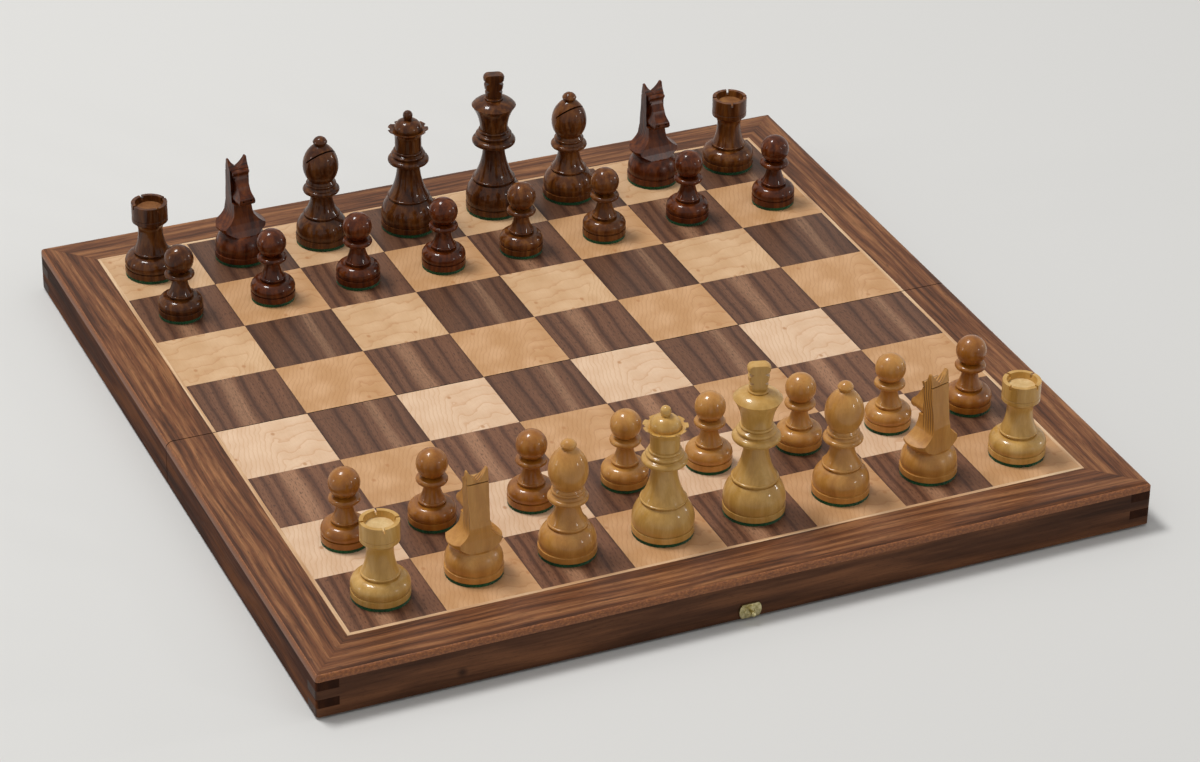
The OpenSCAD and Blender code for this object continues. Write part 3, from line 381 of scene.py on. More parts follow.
@dataclass(frozen=True)
class MapleSquares:
    """Flat-sliced maple veneer under satin lacquer: thin tan growth rings on a pale ground.

    All squares of a rank are cut from one leaf, so they show the same figure, a little shifted. The
    steep rings stand about 2 mm apart and turn into level waves `ring` mm apart, over `blend` mm. A
    few bird's eyes of the radius `eye` lie in each square, `eye_pitch` mm apart. `leaf_step` is how
    far the figure moves on with each file and each rank, and the sizes are those of one sway of the
    rings, one fibre and one cloud of the ground, all in millimetres.
    """

    name: str
    even: Rings
    odd: Rings
    ring: float = 9.0
    steepness: float = 4.0
    blend: float = 14.0
    sway: float = 5.0
    sway_size: Triple = (11.0, 11.0, 40.0)
    sway_span: Pair = (0.25, 0.75)
    fibre_size: Triple = (0.5, 6.0, 40.0)
    cloud_size: Triple = (16.0, 16.0, 60.0)
    cloud_span: Pair = (0.35, 0.65)
    line_share: float = 0.48
    leaf_step: Pair = (0.7, 47.0)
    eye: float = 0.55
    eye_rim: float = 2.2
    eye_pitch: Pair = (21.0, 30.0)
    eye_tone: str = "#b07a4c"
    eye_share: float = 0.7
    fibre_gain: Pair = (0.965, 1.03)
    roughness: Pair = (0.52, 0.42)
    gloss_level: float = 0.3

    def build(self) -> bpy.types.Material:
        """Builds the material: rings of both leaves, clouds, fibres, bird's eyes and lacquer.

        Returns:
            The material.
        """
        material, add, shader = new_material(self.name)
        place = place_in_mm(add)
        part = add("SeparateXYZ", [place]).outputs
        inside, number = [], []
        for i in (0, 1):
            steps = squares_in(add, part[i])
            past = add("Math", [steps], operation="FRACT")
            inside.append(add("Math", [past, SQUARE_W], operation="MULTIPLY"))
            number.append(add("Math", [steps], operation="FLOOR"))
        parity = add("Math", [number[1], 2.0], operation="MODULO")
        is_even = add("Math", [parity, 0.5], operation="GREATER_THAN")
        square = add("CombineXYZ", number)
        leaf_place = add("Mapping", {"Vector": square, "Scale": (*self.leaf_step, 0.0)})
        shifted = add("VectorMath", [add("CombineXYZ", inside), leaf_place], operation="ADD")
        sway = spots(add, shifted, self.sway_size, detail=2.0)
        wave = add("MapRange", [sway, *self.sway_span, -self.sway, self.sway])
        colours, heights = [], []
        for leaf in (self.odd, self.even):
            colour, line = self.leaf(add, inside, wave, leaf)
            colours.append(colour)
            heights.append(line)
        tone = add("Mix", [is_even, *colours], data_type="RGBA")
        ring = add("Mix", [is_even, *heights], data_type="FLOAT")
        fibres = spots(add, shifted, self.fibre_size, detail=3.0, roughness=0.6)
        gain = add("MapRange", [fibres, *NOISE, *self.fibre_gain])
        tone = add("VectorMath", [tone, gain], operation="SCALE")
        pitch, climb = self.eye_pitch
        eyes = add("Mapping", {"Vector": shifted, "Scale": (1 / pitch, 1 / climb, 1.0)})
        eyes = add("TexVoronoi", {"Vector": eyes, "Scale": 1.0}, voronoi_dimensions="2D")
        rim = self.eye_rim * self.eye
        eye = add("MapRange", [eyes, self.eye / pitch, rim / pitch, self.eye_share, 0.0])
        tone = add("Mix", [eye, tone, linear(self.eye_tone)], data_type="RGBA")
        gloss = add("MapRange", [fibres, *NOISE, *self.roughness])
        relief = add("Math", [fibres, ring], operation="SUBTRACT")
        joined(add, shader, tone, gloss, relief, strength=0.15, depth=0.03)
        shader.inputs["Specular IOR Level"].default_value = self.gloss_level
        return material

    def leaf(self, add: Adder, inside: list[Node], wave: Node, leaf: Rings) -> tuple[Node, Node]:
        """Lays the rings of one leaf.

        Args:
            add: the function that adds a node.
            inside: the two coordinates within the square, in millimetres.
            wave: how far the rings sway at each place, in millimetres.
            leaf: how the rings run.

        Returns:
            The node with the leaf's colour, and the node with its ring lines from 0 to 1.
        """
        side, up = inside
        if leaf.flipped:
            side = add("Math", [SQUARE_W, side], operation="SUBTRACT")
        past = add("Math", [side, leaf.bend], operation="SUBTRACT")
        short = add("Math", [past, -1.0], operation="MULTIPLY")
        leaning = add("Math", [up, leaf.lean, short], operation="MULTIPLY_ADD")
        steep = add("Math", [leaning, self.steepness], operation="MULTIPLY")
        level = add("Math", [past, leaf.fall, up], operation="MULTIPLY_ADD")
        height = add("Math", [steep, level, self.blend], operation="SMOOTH_MAX")
        height = add("Math", [height, wave], operation="ADD")
        turns = add("Math", [height, self.ring], operation="DIVIDE")
        phase = add("Math", [turns], operation="FRACT")
        # A ring starts with a sharp dark line and fades; two fainter lines stand between the rings.
        late = [(0.0, "#ffffff"), (0.07, "#e0e0e0"), (0.18, "#909090")]
        early = [(0.5, "#404040"), (0.9, "#000000"), (1.0, "#808080")]
        line = add("ValToRGB", [phase], stops=late + early)
        finer = add("Math", [turns, 3.0], operation="MULTIPLY")
        finer = add("Math", [finer], operation="FRACT")
        thin = [(0.0, "#8a8a8a"), (0.2, "#505050"), (0.6, "#000000")]
        both = [line, add("ValToRGB", [finer], stops=thin)]
        both = add("Math", both, operation="MAXIMUM")
        cloud = add("CombineXYZ", [side, up, height])
        cloud = spots(add, cloud, self.cloud_size, detail=1.0)
        cloud = add("MapRange", [cloud, *self.cloud_span])
        ground = add("Mix", [cloud, linear(leaf.shade), linear(leaf.tone)], data_type="RGBA")
        share = add("Math", [both, self.line_share], operation="MULTIPLY")
        return add("Mix", [share, ground, linear(leaf.line)], data_type="RGBA"), both


@dataclass(frozen=True)
class WalnutSquares:
    """Quarter-sliced walnut veneer under satin lacquer: purple-brown stripes and short dark pores.

    The squares of a rank are cut side by side from one leaf, so the same stripes stand in each.
    `even` and `odd` give the stripes' places over the width of a square, from 0 to 1, each with the
    number of its tone from dark to light, and the two levels how pale these ranks are: the leaves'
    own tone and, in a half given lower levels, painted shade as well. `lean` and `sway` are how far
    the stripes lean and wander, in widths of a square. The sizes are those of one sway, one fine
    stripe and one pore, and `rank_step` is how far the leaf moves on with each rank, in
    millimetres.
    The real pores are about 0.15 mm wide; they are drawn wider so that they show.
    """

    name: str
    even_level: float
    odd_level: float
    dark: str = "#4c2e1f"
    middle: str = "#6e4933"
    light: str = "#8f684d"
    pore_tone: str = "#321c11"
    even: tuple[tuple[float, int], ...] = (
        (0.0, 0), (0.05, 1), (0.12, 1), (0.2, 1), (0.27, 0), (0.32, 1), (0.4, 1), (0.45, 0),
        (0.5, 1), (0.57, 1), (0.62, 2), (0.68, 2), (0.72, 1), (0.8, 1), (0.84, 0), (0.88, 1),
        (1.0, 0),
    )
    odd: tuple[tuple[float, int], ...] = (
        (0.0, 1), (0.06, 1), (0.1, 0), (0.14, 1), (0.19, 1), (0.22, 0), (0.27, 1), (0.35, 2),
        (0.44, 2), (0.5, 1), (0.56, 0), (0.61, 1), (0.72, 1), (0.76, 0), (0.8, 1), (0.93, 1),
        (1.0, 0),
    )
    lean: float = 0.035
    sway: float = 0.02
    sway_size: Triple = (14.0, 40.0, 40.0)
    rank_step: float = 9.0
    stripe_size: Triple = (1.2, 60.0, 9.0)
    stripe_gain: Pair = (0.7, 1.22)
    pore_size: Triple = (0.4, 3.0, 9.0)
    pore_span: Pair = (0.56, 0.66)
    pore_share: float = 0.6
    roughness: Pair = (0.53, 0.43)
    gloss_level: float = 0.3

    def build(self) -> bpy.types.Material:
        """Builds the material: stripes of both leaves, fibres, pores and lacquer.

        Returns:
            The material.
        """
        material, add, shader = new_material(self.name)
        place = place_in_mm(add)
        part = add("SeparateXYZ", [place]).outputs
        ranks = squares_in(add, part[1])
        rank = add("Math", [ranks], operation="FLOOR")
        parity = add("Math", [rank, 2.0], operation="MODULO")
        is_odd = add("Math", [parity, 0.5], operation="LESS_THAN")
        up = add("Math", [ranks], operation="FRACT")
        lean = add("Math", [up, self.lean], operation="MULTIPLY")
        sway = spots(add, place, self.sway_size, detail=1.0)
        files = squares_in(add, part[0])
        files = add("Math", [files, lean], operation="SUBTRACT")
        sway = add("MapRange", [sway, *NOISE, -self.sway, self.sway])
        files = add("Math", [files, sway], operation="ADD")
        across = add("Math", [files], operation="FRACT")
        tones = (self.dark, self.middle, self.light)
        leaves = []
        for leaf in (self.even, self.odd):
            stops = [(at, tones[index]) for at, index in leaf]
            leaves.append(add("ValToRGB", [across], stops=stops))
        tone = add("Mix", [is_odd, *leaves], data_type="RGBA")
        level = add("Mix", [is_odd, self.even_level, self.odd_level], data_type="FLOAT")
        tone = add("VectorMath", [tone, level], operation="SCALE")
        side = add("Math", [across, SQUARE_W], operation="MULTIPLY")
        depth = add("Math", [rank, self.rank_step], operation="MULTIPLY")
        run = add("CombineXYZ", [side, part[1], depth])
        stripes = spots(add, run, self.stripe_size, detail=4.0, roughness=0.7)
        gain = add("MapRange", [stripes, *NOISE, *self.stripe_gain])
        tone = add("VectorMath", [tone, gain], operation="SCALE")
        holes = spots(add, run, self.pore_size, detail=1.0, shift=(5.0, 2.0, 0.0))
        hole = add("MapRange", [holes, *self.pore_span, 0.0, self.pore_share])
        tone = add("Mix", [hole, tone, linear(self.pore_tone)], data_type="RGBA")
        gloss = add("MapRange", [stripes, *NOISE, *self.roughness])
        relief = add("Math", [stripes, hole], operation="SUBTRACT")
        joined(add, shader, tone, gloss, relief, strength=0.3, depth=0.04)
        shader.inputs["Specular IOR Level"].default_value = self.gloss_level
        return material


@dataclass(frozen=True)
class Strokes:
    """The carver's strokes down a knight's mane: where its blank stands and how it is turned.

    `middle` is the blank's axis and the level of its neck in millimetres, `turn` its angle in
    degrees. The back of the neck starts `back` mm behind the axis and leans forward by `lean` of
    its height. The strokes follow it with a small `wobble`, `wobble_turns` radians for each
    millimetre of height. They fade in over the heights `low` and out over `high`, and fade out
    between the values of `flank` where a face looks back. The real strokes are about 0.9 mm apart;
    `pitch` is wider so that they show. The last stroke fades out over `last_share` of it, and a
    groove takes up the part of the wave under `groove_top`.
    """

    middle: Triple
    turn: float
    count: int = 5
    pitch: float = 1.5
    back: float = 8.66
    lean: float = 0.14
    wobble: float = 0.3
    wobble_turns: float = 0.45
    low: Pair = (6.0, 9.0)
    high: Pair = (34.5, 32.5)
    flank: Pair = (0.62, 0.5)
    last_share: float = 0.6
    groove_top: float = 0.2

    def relief(self, add: Adder, place: Node) -> Node:
        """Lays the strokes as grooves that follow the back of the neck.

        Args:
            add: the function that adds a node.
            place: the coordinates in millimetres.

        Returns:
            The node with the depth of the grooves, from 0 to 1.
        """
        angle = math.radians(self.turn)
        stand = {"Location": self.middle, "Rotation": (0.0, 0.0, angle)}
        turned = add("Mapping", {"Vector": place, **stand}, vector_type="TEXTURE")
        part = add("SeparateXYZ", [turned]).outputs
        inward = add("Math", [part[0], self.back], operation="ADD")
        inward = add("Math", [part[2], -self.lean, inward], operation="MULTIPLY_ADD")
        swing = add("Math", [part[2], self.wobble_turns], operation="MULTIPLY")
        swing = add("Math", [swing], operation="SINE")
        inward = add("Math", [swing, self.wobble, inward], operation="MULTIPLY_ADD")
        wave = add("Math", [inward, 2 * math.pi / self.pitch], operation="MULTIPLY")
        wave = add("Math", [wave], operation="COSINE")
        groove = add("MapRange", [wave, -1.0, self.groove_top, 1.0, 0.0])
        back = (-math.cos(angle), -math.sin(angle), 0.0)
        facing = [add("TexCoord").outputs["Normal"], back]
        facing = add("VectorMath", facing, operation="DOT_PRODUCT")
        reach, fade = self.count * self.pitch, (self.count - self.last_share) * self.pitch
        within = [
            add("MapRange", [facing, *self.flank]),
            add("MapRange", [inward, reach, fade]),
            add("MapRange", [part[2], *self.low]),
            add("MapRange", [part[2], *self.high]),
        ]
        for share in within:
            groove = add("Math", [groove, share], operation="MULTIPLY")
        return groove


@dataclass(frozen=True)
class Turning:
    """Wood turned on the lathe and polished: upright fibres, faint streaks and a soft gloss.

    The widths are millimetres across the grain, as in Wood; streaks are `streak_stretch` times and
    fibres `fibre_stretch` times as long as wide. Turning marks are about 0.1 mm apart; those of
    `mark_size` are wider apart so that they show. A carver's strokes are `groove_depth` times as
    deep as the fibres, and their colour is darkened to `painted_groove_shade` of it as painted
    shade.
    """

    name: str
    dark: str
    middle: str
    light: str
    streak: float = 5.0
    contrast: float = 0.24
    fibre: float = 0.55
    streak_stretch: float = 9.0
    fibre_stretch: float = 14.0
    sway: float = 4.0
    sway_size: Triple = (12.0, 12.0, 18.0)
    fibre_share: float = 0.05
    mark_size: Triple = (40.0, 40.0, 0.6)
    mark_share: float = 0.5
    roughness: float = 0.4
    gloss_swing: float = 0.05
    gloss_level: float = 0.25
    coat: float = 0.5
    coat_roughness: float = 0.09
    strokes: Strokes | None = None
    painted_groove_shade: float = 0.35
    groove_depth: float = 20.0

    def build(self) -> bpy.types.Material:
        """Builds the material: streaks, fibres, lathe marks, strokes of the knife with painted
        shade in their grooves, and polish.

        Returns:
            The material.
        """
        material, add, shader = new_material(self.name)
        place = place_in_mm(add)
        run, _ = swayed(add, place, self.sway_size, self.sway)
        wide, fine = self.streak, self.fibre
        size = (wide, wide, self.streak_stretch * wide)
        bands = spots(add, run, size, detail=3.0, roughness=0.6)
        low, high = 0.5 - self.contrast, 0.5 + self.contrast
        stops = [(low, self.dark), (0.5, self.middle), (high, self.light)]
        tone = add("ValToRGB", [bands], stops=stops)
        size = (fine, fine, self.fibre_stretch * fine)
        lines = spots(add, run, size, detail=2.0, shift=(9.0, 4.0, 2.0))
        gain = add("MapRange", [lines, *NOISE, 1 - self.fibre_share, 1 + self.fibre_share])
        tone = add("VectorMath", [tone, gain], operation="SCALE")
        marks = spots(add, place, self.mark_size, detail=1.0, shift=(0.0, 0.0, 7.0))
        dull, bright = self.roughness + self.gloss_swing, self.roughness - self.gloss_swing
        gloss = add("MapRange", [lines, *NOISE, dull, bright])
        relief = add("Math", [marks, self.mark_share], operation="MULTIPLY")
        relief = add("Math", [relief, lines], operation="ADD")
        if self.strokes:
            groove = self.strokes.relief(add, place)
            # The grooves of the strokes are darkened as painted shade.
            shade = add("MapRange", [groove, 0.0, 1.0, 1.0, self.painted_groove_shade])
            tone = add("VectorMath", [tone, shade], operation="SCALE")
            relief = add("Math", [groove, -self.groove_depth, relief], operation="MULTIPLY_ADD")
        joined(add, shader, tone, gloss, relief, strength=0.5, depth=0.02)
        shader.inputs["Specular IOR Level"].default_value = self.gloss_level
        shader.inputs["Coat Weight"].default_value = self.coat
        shader.inputs["Coat Roughness"].default_value = self.coat_roughness
        return material


@dataclass(frozen=True)
class Felt:
    """Pressed wool felt: dull green, fuzzy, with a soft sheen where it turns away.

    Wool fibres are about 0.03 mm thick; the flecks are drawn wider so that they show. The sizes of
    flecks and patches are in millimetres, and `tone_span` gives the mixed noise at which the felt
    is dark and light.
    """

    name: str
    dark: str = "#0c2e18"
    light: str = "#226536"
    fleck_size: Triple = (0.35, 0.35, 0.35)
    patch_size: Triple = (6.0, 6.0, 6.0)
    fleck_share: float = 0.6
    tone_span: Pair = (0.38, 0.62)
    roughness: Pair = (1.0, 0.85)
    sheen: float = 0.3
    sheen_roughness: float = 0.5
    gloss_level: float = 0.2

    def build(self) -> bpy.types.Material:
        """Builds the material: flecked wool, matted fibres and sheen.

        Returns:
            The material.
        """
        material, add, shader = new_material(self.name)
        place = place_in_mm(add)
        flecks = spots(add, place, self.fleck_size, detail=4.0, roughness=0.7)
        patches = spots(add, place, self.patch_size, detail=2.0)
        both = add("Math", [flecks, self.fleck_share], operation="MULTIPLY")
        both = add("Math", [patches, 1 - self.fleck_share, both], operation="MULTIPLY_ADD")
        tone = add("ValToRGB", [both], stops=list(zip(self.tone_span, (self.dark, self.light))))
        dull = add("MapRange", [flecks, *NOISE, *self.roughness])
        joined(add, shader, tone, dull, flecks, strength=0.8, depth=0.3)
        shader.inputs["Sheen Weight"].default_value = self.sheen
        shader.inputs["Sheen Roughness"].default_value = self.sheen_roughness
        shader.inputs["Specular IOR Level"].default_value = self.gloss_level
        return material


@dataclass(frozen=True)
class Brass:
    """Plain rolled brass, a little dulled: pale greenish gold, mottled, with fine rubbing marks.

    The marks are a few hundredths of a millimetre apart; they are drawn wider apart so that they
    show. The sizes are in millimetres, and `tone_span` gives the noise at which the metal is dull
    and bright.
    """

    name: str = "rolled_brass"
    bright: str = "#d2c79a"
    dull: str = "#9d9263"
    tone_span: Pair = (0.34, 0.6)
    mottle_size: Triple = (2.0, 2.0, 2.0)
    mark_size: Triple = (4.0, 4.0, 0.2)
    roughness: Pair = (0.24, 0.42)

    def build(self) -> bpy.types.Material:
        """Builds the material: mottled metal colour and fine rubbing marks.

        Returns:
            The material.
        """
        material, add, shader = new_material(self.name)
        place = place_in_mm(add)
        mottle = spots(add, place, self.mottle_size, detail=4.0, roughness=0.6)
        tone = add("ValToRGB", [mottle], stops=list(zip(self.tone_span, (self.dull, self.bright))))
        marks = spots(add, place, self.mark_size, detail=3.0)
        gloss = add("MapRange", [marks, *NOISE, *self.roughness])
        joined(add, shader, tone, gloss, marks, strength=0.3, depth=0.02)
        shader.inputs["Metallic"].default_value = 1.0
        return material


def smooth_corners(piece: bpy.types.Object, limit: float) -> None:
    """Shades a solid of loose triangles smoothly, except over edges sharper than a limit.

    Args:
        piece: the object; the places of its vertices stay as they are.
        limit: the greatest angle between two faces that still shade as one, in degrees.
    """
    mesh = piece.data
    count = len(mesh.loops)
    place = np.empty(len(mesh.vertices) * 3, np.float32)
    mesh.vertices.foreach_get("co", place)
    corner = np.empty(count, np.int32)
    mesh.loops.foreach_get("vertex_index", corner)
    facing = np.empty(len(mesh.polygons) * 3, np.float32)
    mesh.polygons.foreach_get("normal", facing)
    area = np.empty(len(mesh.polygons), np.float32)
    mesh.polygons.foreach_get("area", area)
    face = np.repeat(np.arange(len(mesh.polygons)), 3)
    normal = facing.reshape(-1, 3)[face]
    weighted = normal * area[face, None]
    # The corners that meet in one place form a group, and stand side by side once sorted.
    key = np.round(place.reshape(-1, 3)[corner] * CORNER_STEPS).astype(np.int64)
    order = np.lexsort((key[:, 2], key[:, 1], key[:, 0]))
    ranked = key[order]
    group = np.concatenate([[0], np.cumsum(np.any(ranked[1:] != ranked[:-1], axis=1))])
    normal, weighted = normal[order], weighted[order]
    total = weighted.astype(np.float64)
    # Each two corners of a group that turn less than the limit add their faces to each other.
    nearest = math.cos(math.radians(limit))
    shift = 1
    alive = np.arange(count - shift)
    while len(alive):
        alive = alive[alive + shift < count]
        alive = alive[group[alive] == group[alive + shift]]
        near, far = alive, alive + shift
        alike = (normal[near] * normal[far]).sum(1) > nearest
        total[near[alike]] += weighted[far[alike]]
        total[far[alike]] += weighted[near[alike]]
        shift += 1
    total /= np.maximum(np.linalg.norm(total, axis=1, keepdims=True), 1e-20)
    back = np.empty_like(total)
    back[order] = total
    mesh.shade_smooth()
    mesh.normals_split_custom_set(back.tolist())


def dress(piece: bpy.types.Object, *finishes: bpy.types.Material) -> None:
    """Puts the finishes in a piece's material slots.

    Args:
        piece: the piece.
        finishes: its finishes, in the order of the slots.
    """
    piece.data.materials.clear()
    for finish in finishes:
        piece.data.materials.append(finish)


def dress_with_fold(
    piece: bpy.types.Object, finish: bpy.types.Material, fold: bpy.types.Material
) -> None:
    """Dresses a piece that ends at the fold, with a nearly black finish on its edge there as
    painted shade in the gap.

    Args:
        piece: the piece.
        finish: the finish of all its other faces.
        fold: the finish of its edge at the fold, nearly black as painted shade of the gap.
    """
    dress(piece, finish, fold)
    mesh = piece.data
    centres = np.empty(len(mesh.polygons) * 3, np.float32)
    mesh.polygons.foreach_get("center", centres)
    at_fold = np.abs(centres.reshape(-1, 3)[:, 1]) < FOLD_REACH * MM
    mesh.polygons.foreach_set("material_index", at_fold.astype(np.int32))
    mesh.update()


def vertex_places(mesh: bpy.types.Mesh) -> np.ndarray:
    """Reads the places of a mesh's vertices.

    Args:
        mesh: the mesh.

    Returns:
        One row for each vertex, in metres.
    """
    places = np.empty(len(mesh.vertices) * 3, np.float32)
    mesh.vertices.foreach_get("co", places)
    return places.reshape(-1, 3)


def edit(piece: bpy.types.Object, part: str) -> None:
    """Starts the edit mode on one piece alone, with one kind of part and all of it selected.

    Args:
        piece: the piece to edit.
        part: "VERT", "EDGE" or "FACE".
    """
    bpy.ops.object.select_all(action="DESELECT")
    piece.select_set(True)
    bpy.context.view_layer.objects.active = piece
    bpy.ops.object.mode_set(mode="EDIT")
    bpy.ops.mesh.select_mode(type=part)
    bpy.ops.mesh.select_all(action="SELECT")


def settle(piece: bpy.types.Object, name: str) -> None:
    """Names a finished piece and puts its place, turn and scale in its mesh.

    Args:
        piece: the piece.
        name: the name of the piece and its mesh.
    """
    piece.name = piece.data.name = name
    bpy.ops.object.select_all(action="DESELECT")
    piece.select_set(True)
    bpy.context.view_layer.objects.active = piece
    bpy.ops.object.transform_apply(location=True, rotation=True, scale=True)
    bpy.ops.object.select_all(action="DESELECT")


@dataclass(frozen=True)
class Lamp:
    """One soft box: its place, width and height in metres, and its power in watts."""

    name: str
    place: Triple
    size: Pair
    watts: float


@dataclass
class Studio:
    """The floor, the lamps and the camera; lengths are in metres, angles in degrees."""

    camera_place: Triple = (-0.643, -1.4845, 0.9658)
    camera_turn: Triple = (59.4605, -0.8116, -23.4549)
    lens: float = 117.3
    sensor: float = 36.0
    floor_tone: str = "#d6d5d2"
    floor_roughness: float = 0.9
    floor_gloss: float = 0.1
    floor_reach: float = 12.0
    sky_low: float = 0.16
    sky_high: float = 0.56
    sky_top: float = 0.9
    lamps: tuple[Lamp, ...] = (
        Lamp("key", (-0.8, 0.75, 2.85), (0.85, 0.65), 58.0),
        Lamp("low_front", (1.32, -1.86, 0.81), (0.2, 0.2), 2.7),
        Lamp("low_right", (3.3, -0.6, 0.9), (0.3, 0.36), 8.0),
        Lamp("low_left", (-2.7, 0.6, 0.75), (0.3, 0.6), 3.6),
    )

    def build(self) -> None:
        """Makes the floor, the world, the lamps and the camera."""
        self.make_floor()
        self.make_world()
        for lamp in self.lamps:
            self.hang(lamp)
        self.make_camera()

    def make_floor(self) -> None:
        """Lays the plain floor on which the box stands."""
        bpy.ops.mesh.primitive_plane_add(size=2 * self.floor_reach)
        floor = bpy.context.object
        floor.name = "floor"
        # Matt paper gives an even pale ground without gloss.
        material, _, shader = new_material("matt_paper")
        shader.inputs["Base Color"].default_value = linear(self.floor_tone)
        shader.inputs["Roughness"].default_value = self.floor_roughness
        shader.inputs["Specular IOR Level"].default_value = self.floor_gloss
        dress(floor, material)

    def make_world(self) -> None:
        """Gives the soft light, stronger from above, and the backdrop that camera and gloss see."""
        world = bpy.data.worlds.new("soft_room")
        bpy.context.scene.world = world
        world.use_nodes = True
        world.node_tree.nodes.clear()
        add = partial(add_node, world.node_tree)
        up = add("SeparateXYZ", [add("TexCoord").outputs["Generated"]]).outputs[2]
        strength = add("MapRange", [up, 0.0, self.sky_top, self.sky_low, self.sky_high])
        light = add("Background", [(1.0, 1.0, 1.0, 1.0), strength])
        backdrop = add("Background", [linear(self.floor_tone), 1.0])
        rays = add("LightPath").outputs
        shown = add("Math", [rays["Is Camera Ray"], rays["Is Glossy Ray"]], operation="MAXIMUM")
        shown = add("Math", [shown, rays["Is Transmission Ray"]], operation="MAXIMUM")
        add("OutputWorld", [add("MixShader", [shown, light, backdrop])])

    def hang(self, lamp: Lamp) -> None:
        """Hangs one soft box that faces the board.

        Args:
            lamp: the soft box.
        """
        bpy.ops.object.light_add(type="AREA", location=lamp.place)
        light = bpy.context.object
        light.name = lamp.name
        light.data.shape = "RECTANGLE"
        light.data.size, light.data.size_y = lamp.size
        light.data.energy = lamp.watts
        light.visible_camera = False
        light.rotation_mode = "QUATERNION"
        light.rotation_quaternion = (-Vector(lamp.place)).to_track_quat("-Z", "Y")

    def make_camera(self) -> None:
        """Sets the camera at its place, with its lens."""
        bpy.ops.object.camera_add(
            location=self.camera_place, rotation=[math.radians(a) for a in self.camera_turn]
        )
        camera = bpy.context.object
        camera.name = "camera"
        camera.data.lens = self.lens
        camera.data.sensor_width = self.sensor
        bpy.context.scene.camera = camera


